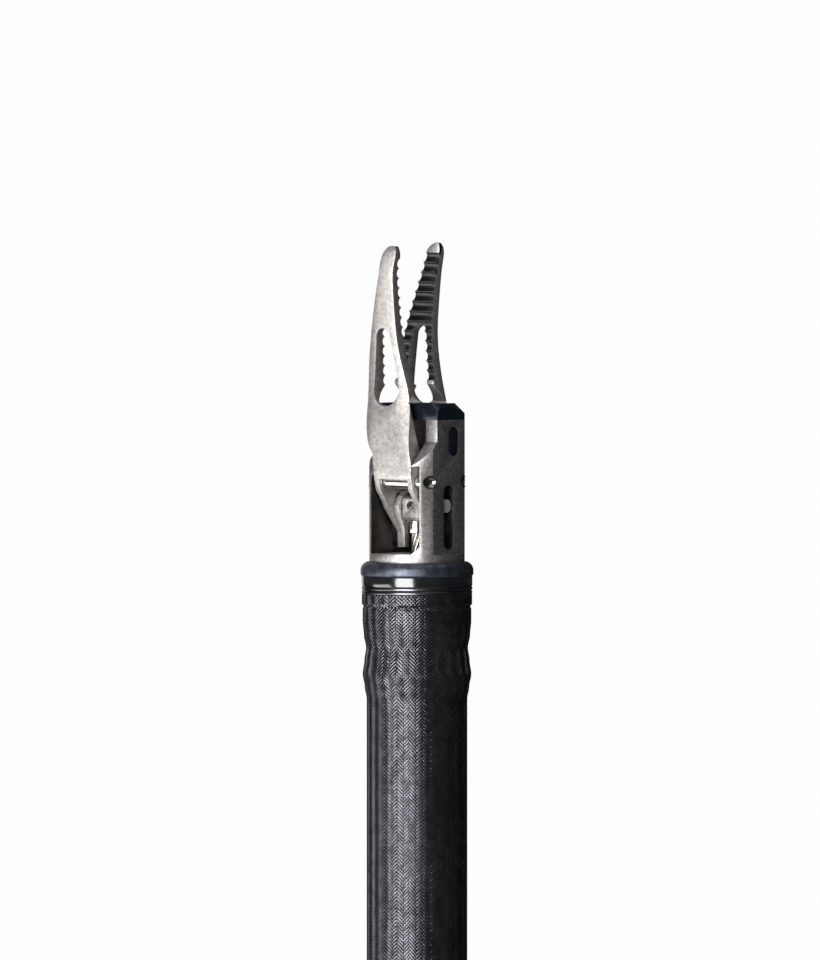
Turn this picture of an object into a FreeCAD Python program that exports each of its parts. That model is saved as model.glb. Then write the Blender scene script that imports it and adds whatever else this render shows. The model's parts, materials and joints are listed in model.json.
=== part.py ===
"""An articulating laparoscopic grasper, 8 mm shaft, standing tip up.

The frame: +Z runs along the shaft towards the jaws, and the origin is on the shaft's axis where the shaft
leaves the rotation knob. The jaws open in the YZ plane, the wrist bends in the XZ plane, and the ring
handle lies in the XZ plane on the +X side. All sizes are in millimetres.

Every size that can be set by itself is a row of SIZES, which becomes one cell of the spreadsheet.
"""

import FreeCAD, Part
import math
import os

import Sketcher
from FreeCAD import Placement, Rotation, Vector

SIZES = [
    ("shaft_radius", 4.0, "outside of the shaft tube, for an 8 mm port"),
    ("shaft_bore", 3.5, "inside of the shaft tube"),
    ("shaft_exposed", 280.0, "knob face to the lower sleeve ring"),
    ("tail_radius", 3.8, "outside of the tube where it is inside the knob and the handle"),
    ("flush_hole_radius", 0.9, "cross hole that lets rinsing water into the tube"),
    ("clip_height", 1.2, "clip that holds the tube in the nose bush"),
    ("carrier_half", 1.2, "half the width of a tendon carrier"),
    ("carrier_height", 3.8, "height of a tendon carrier"),
    ("shaft_tail", 52.0, "how far the tube runs down into the handle"),
    ("play", 0.05, "running clearance between small moving pieces"),
    ("lower_ring_height", 2.5, "ring that binds the sleeve to the shaft"),
    ("ring_radius", 4.2, "outside of the two rings that end the sleeve"),
    ("joint_pitch", 7.0, "from one wrist joint to the next"),
    ("base_to_joint", 12.1, "shaft tube's end to the lowest wrist joint"),
    ("joint_to_hinge", 12.4, "uppermost wrist joint to the jaw hinges"),
    ("link_radius", 3.0, "outside of a wrist link"),
    ("link_bore", 1.0, "middle bore of a wrist link, for the drive cable"),
    ("link_gap", 1.3, "link's flat face to the joint axis beside it"),
    ("ear_width", 2.4, "width of a wrist ear, twice its end radius"),
    ("ear_split", 2.25, "where the inner and outer ears meet, from the axis"),
    ("ear_inside", 1.4, "inner ear's inner face, from the axis"),
    ("wrist_pin_radius", 0.5, "stub pins of the wrist joints"),
    ("tendon_radius", 0.25, "wire that bends the wrist"),
    ("tendon_offset", 2.2, "tendon to the axis"),
    ("cable_radius", 0.45, "drive cable through the wrist"),
    ("sleeve_bore", 3.15, "inside of the braided sleeve"),
    ("sleeve_radius", 3.75, "outside of the braided sleeve where it is straight"),
    ("sleeve_bulge", 4.05, "outside of the sleeve over the first link and its cuff"),
    ("sleeve_waist", 3.8, "outside of the sleeve at the first wrist joint"),
    ("collar_height", 1.05, "blue-grey collar under the clevis"),
    ("retainer_height", 0.75, "gloss ring under the collar"),
    ("band_height", 0.3, "each of the two thin binding rings"),
    ("band_radius", 4.12, "outside of the binding rings"),
    ("clevis_radius", 3.55, "outside of the clevis"),
    ("clevis_flat", 3.06, "flat sides of the clevis, from the axis"),
    ("clevis_below", 6.0, "jaw hinges down to the collar's top face"),
    ("clevis_above", 4.6, "jaw hinges up to the dark cap's lower face"),
    ("spigot_radius", 3.0, "clevis shoulder inside the collar and rings"),
    ("plug_radius", 1.65, "clevis plug inside the uppermost wrist link"),
    ("seat_depth", 0.2, "sleeve's cuff top down to the uppermost wrist link's end"),
    ("base_plug_length", 9.0, "plug that joins the wrist to the shaft tube"),
    ("channel_half", 1.95, "half the width of the channel between the arms"),
    ("mouth_half", 2.42, "half the width of the channel's mouths, front and rear"),
    ("mouth_inner", 2.0, "axis to where the wider mouths start"),
    ("mouth_corner", 0.5, "bevel in the lower corners of the mouths"),
    ("channel_floor", 5.35, "jaw hinges down to the channel's floor"),
    ("arm_half", 1.3, "half the depth of the arms above their shoulders"),
    ("arm_rear", 2.4, "how far the right arm reaches to the rear, which has no shoulder"),
    ("shoulder_top", 3.0, "jaw hinges up to where the arms' shoulders start"),
    ("shoulder_low", 1.2, "jaw hinges up to where the shoulders end"),
    ("left_lower", 0.9, "how much lower the left arm's shoulders are, clear of the jaws' flares"),
    ("cap_height", 1.2, "dark cap that bridges the two arms"),
    ("cap_chamfer", 0.75, "bevel round the top of the dark cap"),
    ("key_height", 2.2, "oval key that locks the cap to an arm"),
    ("key_width", 1.1, "width of the oval key"),
    ("key_level", 3.0, "jaw hinges up to the key's middle"),
    ("key_rear", 0.55, "right key's middle to the rear of the axis"),
    ("hinge_offset", 1.93, "each jaw hinge to the axis"),
    ("hinge_radius", 0.5, "jaw hinge pins"),
    ("drive_level", 1.8, "jaw hinges down to the drive pin, as pictured"),
    ("drive_pin_radius", 0.5, "pin that moves both jaws"),
    ("slot_bottom", 4.5, "jaw hinges down to the lower end of the clevis slots"),
    ("block_half_x", 0.8, "half the drive block's width"),
    ("block_half_y", 0.75, "half the drive block's depth"),
    ("stud_radius", 0.3, "small stud in the drive block's front face"),
    ("block_above", 0.7, "drive pin up to the block's top"),
    ("block_below", 1.1, "drive pin down to the block's foot"),
    ("ferrule_radius", 0.75, "sleeve that crimps the cable under the block"),
    ("ferrule_length", 1.0, "length of that crimp"),
    ("rest_angle", 7.5, "degrees that each jaw stands open, as pictured"),
    ("open_angle", 24.7, "degrees that each jaw stands open at the most"),
    ("jaw_rate", 0.3, "radians that a jaw turns for each mm of the drive pin"),
    ("blade_length", 17.4, "jaw hinge to the tip"),
    ("blade_bow", 2.96, "a jaw's widest place on its bowed side"),
    ("plate_foot", 0.3, "jaw hinge up to the foot of the jaw's base plate"),
    ("back_reach", 2.78, "middle plane to the jaw's back beside the hinge"),
    ("cap_gap", 0.1, "clearance between the dark cap and the jaws over it"),
    ("rear_longer", 0.2, "how much longer the rear jaw is, so that its teeth sit half a pitch higher"),
    ("blade_tip_thick", 0.3, "thickness of a jaw at its tip"),
    ("rear_slant", 0.4, "how much more the corner of the rear jaw's tip is cut off"),
    ("crown_radius", 5.0, "rounding of a jaw's back, side to side"),
    ("blade_gap", 0.03, "closed teeth to the middle plane"),
    ("base_inside", 1.4, "jaw's base plate to the middle plane when closed"),
    ("leg_outer_in", 1.35, "front jaw's legs, inner faces"),
    ("leg_outer_out", 1.8, "front jaw's legs, outer faces"),
    ("leg_inner_in", 0.85, "rear jaw's legs, inner faces"),
    ("leg_inner_out", 1.3, "rear jaw's legs, outer faces"),
    ("tooth_pitch", 0.735, "from one tooth to the next"),
    ("tooth_depth", 0.27, "depth of the valleys between teeth"),
    ("window_top_radius", 0.68, "tip end of the window in a jaw"),
    ("window_low_radius", 1.2, "hinge end of the window in a jaw"),
    ("knob_length", 22.0, "rotation knob"),
    ("knob_radius", 14.0, "outside of the rotation knob"),
    ("flute_radius", 3.4, "finger flutes round the knob"),
    ("flute_count", 10, "number of finger flutes"),
    ("ring_gap", 1.0, "between the knob, the bend ring and the housing"),
    ("bend_ring_length", 14.0, "ring that bends the wrist"),
    ("bend_ring_radius", 13.0, "outside of the bend ring"),
    ("bend_ring_wall", 3.0, "wall of the bend ring"),
    ("rib_count", 24, "grip ribs round the bend ring"),
    ("rod_radius", 1.1, "drive rod inside the shaft"),
    ("ball_radius", 2.2, "ball at the drive rod's lower end"),
    ("coupler_radius", 1.55, "crimp tube that joins the rod to the cable"),
    ("coupler_length", 10.0, "length of that crimp tube"),
    ("housing_half_x", 14.0, "half the housing's width"),
    ("housing_half_y", 12.0, "half the housing's thickness"),
    ("housing_length", 74.0, "length of the housing along the shaft"),
    ("housing_wall", 2.0, "wall of the housing shells"),
    ("housing_corner", 8.0, "rounding of the housing's long edges"),
    ("bush_radius", 7.5, "outside of the nose bush"),
    ("bush_length", 9.0, "length of the nose bush"),
    ("drive_arm", 6.0, "thumb lever's pivot to the drive rod"),
    ("pivot_depth", 53.0, "housing's top face down to the lever's pivot"),
    ("lever_pin_radius", 2.0, "thumb lever's pin"),
    ("lever_thickness", 7.0, "thumb lever's arm, across"),
    ("lever_head_half", 4.2, "half the width of the lever's head"),
    ("lever_head_radius", 6.5, "round head of the thumb lever"),
    ("lever_nose_reach", 4.6, "lever's nose beyond the shaft's axis"),
    ("lever_arm_half", 6.0, "half the width of the lever's arm"),
    ("lever_edge", 2.2, "rounding of the lever's arm"),
    ("mouth_below", 16.5, "lever's pivot down to the foot of its opening in the housing"),
    ("mouth_above", 10.5, "lever's pivot up to the top of that opening"),
    ("thumb_reach", 78.0, "shaft axis to the middle of the thumb ring"),
    ("thumb_drop", 24.0, "lever's pivot down to the middle of the thumb ring"),
    ("thumb_ring_radius", 16.0, "middle of the thumb ring's bar"),
    ("loop_bar_radius", 4.0, "bar of the thumb ring and of the finger loop"),
    ("finger_near", 42.0, "shaft axis to the finger loop's near centre"),
    ("finger_far", 84.0, "shaft axis to the finger loop's far centre"),
    ("finger_drop", 21.0, "housing's top face down to the near centre"),
    ("finger_slant", 7.0, "how much lower the far centre is"),
    ("finger_half", 14.5, "middle of the finger loop's bar from its centres"),
    ("screw_radius", 1.5, "housing screws"),
    ("screw_head_radius", 2.8, "heads of the housing screws"),
    ("screw_head_sunk", 1.6, "depth of a screw head's seat"),
    ("web_half", 3.6, "half the thickness of the web between the housing and the finger loop"),
    ("web_screw_out", 8.0, "housing out to the screw in the finger loop's web"),
    ("web_screw_drop", 11.0, "housing's top face down to that screw"),
    ("port_radius", 3.2, "outside of the flushing port"),
    ("port_bore", 2.1, "inside of the flushing port"),
    ("port_length", 11.0, "flushing port beyond the housing"),
]

doc = FreeCAD.newDocument("LaparoscopicGrasper")
sheet = doc.addObject("Spreadsheet::Sheet", "Sizes")
for row, (alias, value, meaning) in enumerate(SIZES, start=1):
    sheet.set(f"A{row}", alias)
    sheet.set(f"B{row}", str(value))
    sheet.setAlias(f"B{row}", alias)
    sheet.set(f"C{row}", meaning)
doc.recompute()

# Levels along the shaft, as expressions on the sheet
TOP_OF_TUBE = "Sizes.shaft_exposed"
LOWEST_JOINT = "(Sizes.shaft_exposed + Sizes.base_to_joint)"
HINGES = "(Sizes.shaft_exposed + Sizes.base_to_joint + 3 * Sizes.joint_pitch + Sizes.joint_to_hinge)"
COLLAR_TOP = f"({HINGES} - Sizes.clevis_below)"
RETAINER_TOP = f"({COLLAR_TOP} - Sizes.collar_height)"
BAND_TOP = f"({RETAINER_TOP} - Sizes.retainer_height)"
CUFF_TOP = f"({BAND_TOP} - 2 * Sizes.band_height)"
CAP_FOOT = f"({HINGES} + Sizes.clevis_above)"
PIN_LEVEL = f"({HINGES} - Sizes.drive_level)"
PIN_RISE = "(Sizes.open_angle - Sizes.rest_angle) * pi / 180 / Sizes.jaw_rate"
BEND_RING_TOP = "(0 - Sizes.knob_length - Sizes.ring_gap)"
HOUSING_TOP = f"({BEND_RING_TOP} - Sizes.bend_ring_length - Sizes.ring_gap)"
PIVOT = f"({HOUSING_TOP} - Sizes.pivot_depth)"

JOINTS = 4
parts = {}


def size(expression):
    """The value of a size, or of an expression of sizes."""
    text = str(expression)
    named = text.isidentifier() and "Sizes." not in text
    return float(sheet.evalExpression("Sizes." + text if named else text))


def keep(node, thing):
    """Names a finished piece of the instrument."""
    thing.Label = node
    parts[node] = thing
    return thing


def tie(thing, **bindings):
    """Binds properties of a document object to expressions of the sheet."""
    for name, expression in bindings.items():
        thing.setExpression(name.replace("__", "."), str(expression))
    return thing


def place(thing, x="0", y="0", z="0"):
    """Sets where a Part primitive stands, by expressions."""
    return tie(thing, Placement__Base__x=x, Placement__Base__y=y, Placement__Base__z=z)


def origin_plane(body, role):
    return next(o for o in body.Origin.OriginFeatures if o.Role == role)


def new_sketch(body, role, name, lift="0"):
    """A sketch on one of the body's own origin planes, lifted off it along its normal."""
    sketch = body.newObject("Sketcher::SketchObject", name)
    sketch.AttachmentSupport = [(origin_plane(body, role), "")]
    sketch.MapMode = "FlatFace"
    if lift != "0":
        sketch.setExpression("AttachmentOffset.Base.z", lift)
    return sketch


def pin_point(sketch, geometry, end, x, y):
    """Holds one point of the sketch at two expressions."""
    for kind, axis, expression in (("DistanceX", -2, x), ("DistanceY", -1, y)):
        if expression == "0":
            sketch.addConstraint(Sketcher.Constraint("PointOnObject", geometry, end, axis))
        else:
            number = sketch.addConstraint(Sketcher.Constraint(kind, -1, 1, geometry, end, size(expression)))
            sketch.setExpression(f"Constraints[{number}]", expression)


def draw_outline(sketch, corners):
    """A closed outline of straight lines through corners given as pairs of expressions."""
    points = [Vector(size(x), size(y), 0) for x, y in corners]
    first = len(sketch.Geometry)
    count = len(points)
    for i in range(count):
        sketch.addGeometry(Part.LineSegment(points[i], points[(i + 1) % count]), False)
    for i in range(count):
        sketch.addConstraint(Sketcher.Constraint("Coincident", first + i, 2, first + (i + 1) % count, 1))
    for i, (x, y) in enumerate(corners):
        pin_point(sketch, first + i, 1, x, y)


def draw_circle(sketch, x, y, radius):
    circle = Part.Circle(Vector(size(x), size(y), 0), Vector(0, 0, 1), size(radius))
    index = sketch.addGeometry(circle, False)
    number = sketch.addConstraint(Sketcher.Constraint("Radius", index, size(radius)))
    sketch.setExpression(f"Constraints[{number}]", str(radius))
    pin_point(sketch, index, 3, x, y)


def arc_between(centre, radius, start, end):
    """Part of a circle, counter-clockwise from one direction to another."""
    first, last = (math.atan2(v.y, v.x) for v in (start, end))
    if last < first:
        last += 2 * math.pi
    return Part.ArcOfCircle(Part.Circle(centre, Vector(0, 0, 1), radius), first, last)


def draw_slot(sketch, high, low):
    """A slot with round ends: each end is (x, y, radius), and the radii may differ."""
    up, down = (Vector(size(x), size(y), 0) for x, y, _ in (high, low))
    up_radius, down_radius = size(high[2]), size(low[2])
    along = down - up
    lean = (up_radius - down_radius) / along.Length
    along.normalize()
    across = Vector(-along.y, along.x, 0)
    sides = [along * lean + across * sign * math.sqrt(1 - lean * lean) for sign in (1, -1)]
    first = len(sketch.Geometry)
    sketch.addGeometry(arc_between(up, up_radius, sides[0], sides[1]), False)
    sketch.addGeometry(Part.LineSegment(up + sides[1] * up_radius, down + sides[1] * down_radius), False)
    sketch.addGeometry(arc_between(down, down_radius, sides[1], sides[0]), False)
    sketch.addGeometry(Part.LineSegment(down + sides[0] * down_radius, up + sides[0] * up_radius), False)
    for i in range(4):
        sketch.addConstraint(Sketcher.Constraint("Tangent", first + i, 2, first + (i + 1) % 4, 1))
    for index, (x, y, radius) in ((first, high), (first + 2, low)):
        number = sketch.addConstraint(Sketcher.Constraint("Radius", index, size(radius)))
        sketch.setExpression(f"Constraints[{number}]", str(radius))
        pin_point(sketch, index, 3, x, y)


def turned_body(node, profile):
    """A body turned round the shaft's axis from (radius, level) corners."""
    body = doc.addObject("PartDesign::Body", node)
    doc.recompute()
    sketch = new_sketch(body, "XZ_Plane", node + "_profile")
    draw_outline(sketch, profile)
    turn = body.newObject("PartDesign::Revolution", node + "_turned")
    turn.Profile = sketch
    turn.ReferenceAxis = (sketch, ["V_Axis"])
    turn.Angle = 360
    body.Tip = turn
    doc.recompute()
    return body


def turned(node, profile):
    return keep(node, turned_body(node, profile))


def tube_profile(inner, outer, low, high):
    return [(inner, low), (outer, low), (outer, high), (inner, high)]


def pierce(body, role, name, draw, depth=None, lift="0"):
    """Cuts a sketched shape out of a body, right through both ways unless a depth is given."""
    sketch = new_sketch(body, role, name + "_sketch", lift)
    draw(sketch)
    pocket = body.newObject("PartDesign::Pocket", name)
    pocket.Profile = sketch
    if depth is None:
        pocket.Type = "ThroughAll"
        pocket.SideType = "Symmetric"
    else:
        pocket.Type = "Length"
        pocket.setExpression("Length", depth)
    before = body.Shape.Volume
    body.Tip = pocket
    doc.recompute()
    if body.Shape.Volume > before - 1e-6:
        raise ValueError(f"{name} cuts nothing")


def rod_along(node, axis, radius, start, length, x="0", y="0", z="0"):
    """A round bar along X, Y or Z whose first end is at start on that axis."""
    bar = doc.addObject("Part::Cylinder", node)
    tie(bar, Radius=radius, Height=length)
    turn = {"X": Rotation(Vector(0, 1, 0), 90), "Y": Rotation(Vector(1, 0, 0), -90), "Z": Rotation()}[axis]
    bar.Placement = Placement(Vector(), turn)
    spot = {"X": x, "Y": y, "Z": z}
    spot[axis] = start
    place(bar, spot["X"], spot["Y"], spot["Z"])
    return bar


def block(node, low, high):
    """A box between two corners given as expressions."""
    box = doc.addObject("Part::Box", node)
    spans = [f"({top}) - ({foot})" for foot, top in zip(low, high)]
    tie(box, Length=spans[0], Width=spans[1], Height=spans[2])
    return place(box, *low)


def cut(node, base, *tools):
    """Base with every tool taken away, one Part::Cut after another."""
    for number, tool in enumerate(tools):
        step = doc.addObject("Part::Cut", f"{node}_cut{number}")
        step.Base = base
        step.Tool = tool
        base = step
    return base


def join(node, *pieces):
    whole = doc.addObject("Part::MultiFuse", node)
    whole.Shapes = list(pieces)
    return whole


def group(node, *pieces):
    """Separate solids that share one node."""
    whole = doc.addObject("Part::Compound", node)
    whole.Links = list(pieces)
    return keep(node, whole)


def shaped(node, shape):
    """A piece whose form no sketch or primitive gives, set from Part's own functions."""
    thing = doc.addObject("Part::Feature", node)
    thing.Shape = shape
    thing.Placement = Placement()
    return keep(node, thing)


# The clevis: a turned bar with a channel for the jaws, slots for the drive pin and two hinge bores


KEYS = (("right", "Sizes.clevis_radius + 1", "Sizes.key_rear"), ("left", "0", "0"))


def key_ends(middle):
    """Both ends of the oval key that stands at a place front to back."""
    reach = "(Sizes.key_height / 2 - Sizes.key_width / 2)"
    centre = f"({HINGES} + Sizes.key_level)"
    return [(middle, f"{centre} {sign} {reach}", "Sizes.key_width / 2") for sign in "+-"]


def make_clevis():
    floor = f"({HINGES} - Sizes.channel_floor)"
    top = f"({HINGES} + Sizes.clevis_above)"
    plug_foot = f"({HINGES} - Sizes.joint_to_hinge + Sizes.link_gap + 0.5)"
    link_top = f"({CUFF_TOP} - Sizes.seat_depth)"
    body = turned(
        "clevis",
        [
            ("Sizes.cable_radius + 2 * Sizes.play", plug_foot),
            ("Sizes.plug_radius", plug_foot),
            ("Sizes.plug_radius", link_top),
            ("Sizes.spigot_radius", link_top),
            ("Sizes.spigot_radius", COLLAR_TOP),
            ("Sizes.clevis_radius", COLLAR_TOP),
            ("Sizes.clevis_radius", top),
            ("Sizes.cable_radius + 2 * Sizes.play", top),
        ],
    )
    reach = "Sizes.clevis_radius + 1"
    pierce(
        body,
        "XZ_Plane",
        "channel",
        lambda s: draw_outline(
            s,
            [
                ("-Sizes.channel_half", floor),
                ("Sizes.channel_half", floor),
                ("Sizes.channel_half", f"{top} + 1"),
                ("-Sizes.channel_half", f"{top} + 1"),
            ],
        ),
    )
    mouth = "(Sizes.mouth_half - Sizes.mouth_corner)"
    for sign, side, lift in (("-", "rear", "-Sizes.mouth_inner"), ("", "front", reach)):
        pierce(
            body,
            "XZ_Plane",
            f"{side}_mouth",
            lambda s: draw_outline(
                s,
                [
                    ("0", floor),
                    (f"{sign}{mouth}", floor),
                    (f"{sign}Sizes.mouth_half", f"{floor} + Sizes.mouth_corner"),
                    (f"{sign}Sizes.mouth_half", f"{HINGES} + Sizes.shoulder_low"),
                    ("0", f"{HINGES} + Sizes.shoulder_low"),
                ],
            ),
            depth="Sizes.clevis_radius + 1 - Sizes.mouth_inner",
            lift=lift,
        )
    for name, sign, drop, lift in (
        ("right_front", "-", "0", reach),
        ("left_front", "-", "Sizes.left_lower", "0"),
        ("left_rear", "", "Sizes.left_lower", "0"),
    ):
        pierce(
            body,
            "YZ_Plane",
            f"{name}_shoulder",
            lambda s: draw_outline(
                s,
                [
                    (f"{sign}Sizes.arm_half", f"{top} + 1"),
                    (f"{sign}Sizes.arm_half", f"{HINGES} + Sizes.shoulder_top - {drop}"),
                    (f"{sign}(Sizes.clevis_radius - 0.55)", f"{HINGES} + Sizes.shoulder_low - {drop}"),
                    (f"{sign}({reach})", f"{HINGES} + Sizes.shoulder_low - {drop}"),
                    (f"{sign}({reach})", f"{top} + 1"),
                ],
            ),
            depth=reach,
            lift=lift,
        )
    for sign, side in (("", "rear"), ("-", "front")):
        pierce(
            body,
            "XY_Plane",
            f"{side}_flat",
            lambda s: draw_outline(
                s,
                [
                    (f"{sign}Sizes.clevis_flat", f"-({reach})"),
                    (f"{sign}({reach})", f"-({reach})"),
                    (f"{sign}({reach})", reach),
                    (f"{sign}Sizes.clevis_flat", reach),
                ],
            ),
            depth=f"{top} + 1 - {COLLAR_TOP} - 0.6",
            lift=f"{top} + 1",
        )
        pierce(
            body,
            "YZ_Plane",
            f"{side}_hinge_bore",
            lambda s: draw_circle(s, f"{sign}Sizes.hinge_offset", HINGES, "Sizes.hinge_radius"),
        )
    pierce(
        body,
        "YZ_Plane",
        "right_arm_rear",
        lambda s: draw_outline(
            s,
            [
                ("Sizes.arm_rear", f"{top} + 1"),
                ("Sizes.arm_rear", f"{HINGES} + Sizes.shoulder_low"),
                (reach, f"{HINGES} + Sizes.shoulder_low"),
                (reach, f"{top} + 1"),
            ],
        ),
    )
    pierce(
        body,
        "YZ_Plane",
        "drive_slots",
        lambda s: draw_slot(
            s,
            ("0", f"{PIN_LEVEL} + {PIN_RISE}", "Sizes.drive_pin_radius + Sizes.play"),
            ("0", f"{HINGES} - Sizes.slot_bottom", "Sizes.drive_pin_radius + Sizes.play"),
        ),
    )
    for side, lift, middle in KEYS:
        pierce(
            body,
            "YZ_Plane",
            f"{side}_key_seat",
            lambda s: draw_slot(s, *key_ends(middle)),
            depth=reach,
            lift=lift,
        )


def make_cap():
    """Dark cap over both arms. It bridges the channel, and its two tongues reach down to the keys."""
    top = f"({CAP_FOOT} + Sizes.cap_height)"
    body = turned(
        "clevis_cap",
        [
            ("0", CAP_FOOT),
            ("Sizes.clevis_radius", CAP_FOOT),
            ("Sizes.clevis_radius", f"{top} - Sizes.cap_chamfer"),
            ("Sizes.clevis_radius - Sizes.cap_chamfer", top),
            ("0", top),
        ],
    )
    reach = "Sizes.clevis_radius + 1"
    rear = [
        ("Sizes.channel_half", "Sizes.arm_half"),
        ("Sizes.channel_half", "Sizes.arm_rear"),
        (reach, "Sizes.arm_rear"),
        (reach, reach),
        (f"-({reach})", reach),
        (f"-({reach})", "Sizes.arm_half"),
    ]
    front = [
        (f"-({reach})", "-Sizes.arm_half"),
        (reach, "-Sizes.arm_half"),
        (reach, f"-({reach})"),
        (f"-({reach})", f"-({reach})"),
    ]
    for side, corners in (("rear", rear), ("front", front)):
        pierce(
            body,
            "XY_Plane",
            f"cap_{side}",
            lambda s: draw_outline(s, corners),
            depth="Sizes.cap_height + 2",
            lift=f"{top} + 1",
        )
    for sign, side in (("", "rear"), ("-", "front")):
        pierce(
            body,
            "XY_Plane",
            f"cap_flat_{side}",
            lambda s: draw_outline(
                s,
                [
                    (f"{sign}Sizes.clevis_flat", f"-({reach})"),
                    (f"{sign}({reach})", f"-({reach})"),
                    (f"{sign}({reach})", reach),
                    (f"{sign}Sizes.clevis_flat", reach),
                ],
            ),
            depth="Sizes.cap_height + 2",
            lift=f"{top} + 1",
        )


def make_cap_keys():
    """Oval keys, flush with the clevis flats."""
    keys = []
    for (side, _, middle), sign in zip(KEYS, ("", "-")):
        body = doc.addObject("PartDesign::Body", f"key_{side}")
        doc.recompute()
        middle_out = f"{sign}(Sizes.channel_half + Sizes.clevis_flat) / 2"
        sketch = new_sketch(body, "YZ_Plane", f"key_{side}_sketch", middle_out)
        draw_slot(sketch, *key_ends(middle))
        pad = body.newObject("PartDesign::Pad", f"key_{side}_pad")
        pad.Profile = sketch
        pad.SideType = "Symmetric"
        pad.setExpression("Length", "Sizes.clevis_flat - Sizes.channel_half")
        body.Tip = pad
        keys.append(body)
    group("cap_keys", *keys)


def make_hinge_pins():
    """Pins whose ends are ground flush with the clevis's flats and round."""
    for sign, side in (("-", "front"), ("", "rear")):
        node = f"{side}_hinge_pin"
        bar = rod_along(node + "_bar", "X", "Sizes.hinge_radius", "-Sizes.clevis_flat", "2 * Sizes.clevis_flat",
                        y=f"{sign}Sizes.hinge_offset", z=HINGES)
        outside = rod_along(node + "_outside", "Z", "Sizes.clevis_radius",
                            f"{HINGES} - 2 * Sizes.hinge_radius", "4 * Sizes.hinge_radius")
        pin = doc.addObject("Part::Common", node)
        pin.Base = bar
        pin.Tool = outside
        keep(node, pin)


# The two jaws. Their outlines are drawn closed, then each jaw is swung to the pictured angle


def tilt(point, angle, pivot):
    """A point of the (outward, up) plane, swung outwards by an angle in radians about the pivot."""
    away = point - pivot
    across = away.x * math.cos(angle) + away.y * math.sin(angle)
    return pivot + Vector(across, -away.x * math.sin(angle) + away.y * math.cos(angle), 0)


def smooth(points):
    """One smooth curve through the points."""
    curve = Part.BSplineCurve()
    curve.interpolate([Vector(*p) for p in points])
    return curve.toShape()


def straight(*points):
    return [Part.makeLine(Vector(*a), Vector(*b)) for a, b in zip(points, points[1:])]


def cam_slot(radius):
    """Face of the slot that the drive pin needs in a closed jaw's leg, in the (outward, up) plane."""
    pivot = Vector(size("hinge_offset"), 0, 0)
    rest, widest = math.radians(size("rest_angle")), math.radians(size("open_angle"))
    steps = 8
    path = []
    for i in range(steps + 1):
        angle = widest * i / steps
        pin = Vector(0, -size("drive_level") + (angle - rest) / size("jaw_rate"), 0)
        path.append(tilt(pin, -angle, pivot))
    pieces = [Part.Face(Part.Wire(Part.Circle(p, Vector(0, 0, 1), radius).toShape())) for p in path]
    for a, b in zip(path, path[1:]):
        side = (b - a).cross(Vector(0, 0, 1)).normalize() * radius
        corners = [a + side, b + side, b - side, a - side]
        pieces.append(Part.Face(Part.makePolygon(corners + corners[:1])))
    return pieces[0].multiFuse(pieces[1:]).removeSplitter()


def leg_outline():
    """Face of one leg of a closed jaw, in the (outward, up) plane."""
    hinge, low = size("hinge_offset"), size("drive_level")
    outline = Part.makePolygon(
        [
            Vector(*p)
            for p in [
                (hinge - 0.95, 0.9, 0),
                (hinge - 1.1, -0.35, 0),
                (-0.55, -low + 0.35, 0),
                (-0.85, -low - 0.45, 0),
                (-0.55, -low - 1.1, 0),
                (0.05, -low - 2.1, 0),
                (0.27, -low - 3.35, 0),
                (0.75, -low - 3.35, 0),
                (0.63, -low - 2.2, 0),
                (hinge - 0.05, -low - 0.3, 0),
                (hinge + 0.25, -low + 0.4, 0),
                (hinge + 0.75, -0.55, 0),
                (hinge + 0.88, 0.9, 0),
                (hinge - 0.95, 0.9, 0),
            ]
        ]
    )
    return Part.Face(outline)


def blade_plan(length, slant):
    """Wire of a jaw seen square on: bowed on the -X side, where its tip is slanted, nearly straight on the +X side."""
    half, bow = size("leg_outer_out"), size("blade_bow")
    foot, plate = size("plate_foot"), size("leg_outer_out") + size("play")
    left = [(-plate, 0.126), (-half - 0.6, 0.178), (-bow + 0.14, 0.253), (-bow, 0.356)]
    left += [(-bow + 0.06, 0.494), (-bow + 0.53, 0.655), (-bow + 1.28, 0.816), (-bow + 1.69, 0.902)]
    left += [(-bow + 1.98 + slant / 4, 0.971)]
    left += [(-bow + 2.36 + slant, 1)]
    right = [(0.1, 1), (0.24, 0.98), (0.1, 0.92), (-0.04, 0.839), (-0.06, 0.724), (0.02, 0.609)]
    right += [(0.38, 0.494), (0.95, 0.368), (1.38, 0.224), (half, 0.092)]
    left, right = ([(x, share * length, 0) for x, share in side] for side in (left, right))
    edges = [smooth(left), *straight(left[-1], right[0]), smooth(right)]
    edges += straight(right[-1], (half, foot, 0), (-plate, foot, 0), left[0])
    return Part.Wire(edges)


def back_curve(length):
    """Places along the middle of a closed jaw's back, as (outward, up)."""
    tip, back = size("blade_gap") + size("blade_tip_thick"), size("back_reach")
    shares = [(tip, 1), (tip + 0.27, 0.974), (0.8, 0.925), (0.91, 0.85), (1.0, 0.707), (1.11, 0.603)]
    shares += [(1.27, 0.494), (back - 1.12, 0.345), (back - 0.48, 0.224), (back - 0.1, 0.115)]
    return [(out, share * length) for out, share in shares] + [(back, size("plate_foot"))]


def blade_side(length):
    """Wire of a closed jaw seen along the hinge, in the (outward, up) plane."""
    gap, base, foot = size("blade_gap"), size("base_inside"), size("plate_foot")
    over_cap = size("clevis_above") + size("cap_height") + size("cap_gap")
    curve = [(out, up, 0) for out, up in back_curve(length)]
    front = straight(
        curve[-1],
        (base - 0.45, foot, 0),
        (base - 0.45, foot + 0.6, 0),
        (base, foot + 1.3, 0),
        (base, over_cap, 0),
        (gap, over_cap + 1.1, 0),
        (gap, length, 0),
        curve[0],
    )
    return Part.Wire([smooth(curve), *front])


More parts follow.
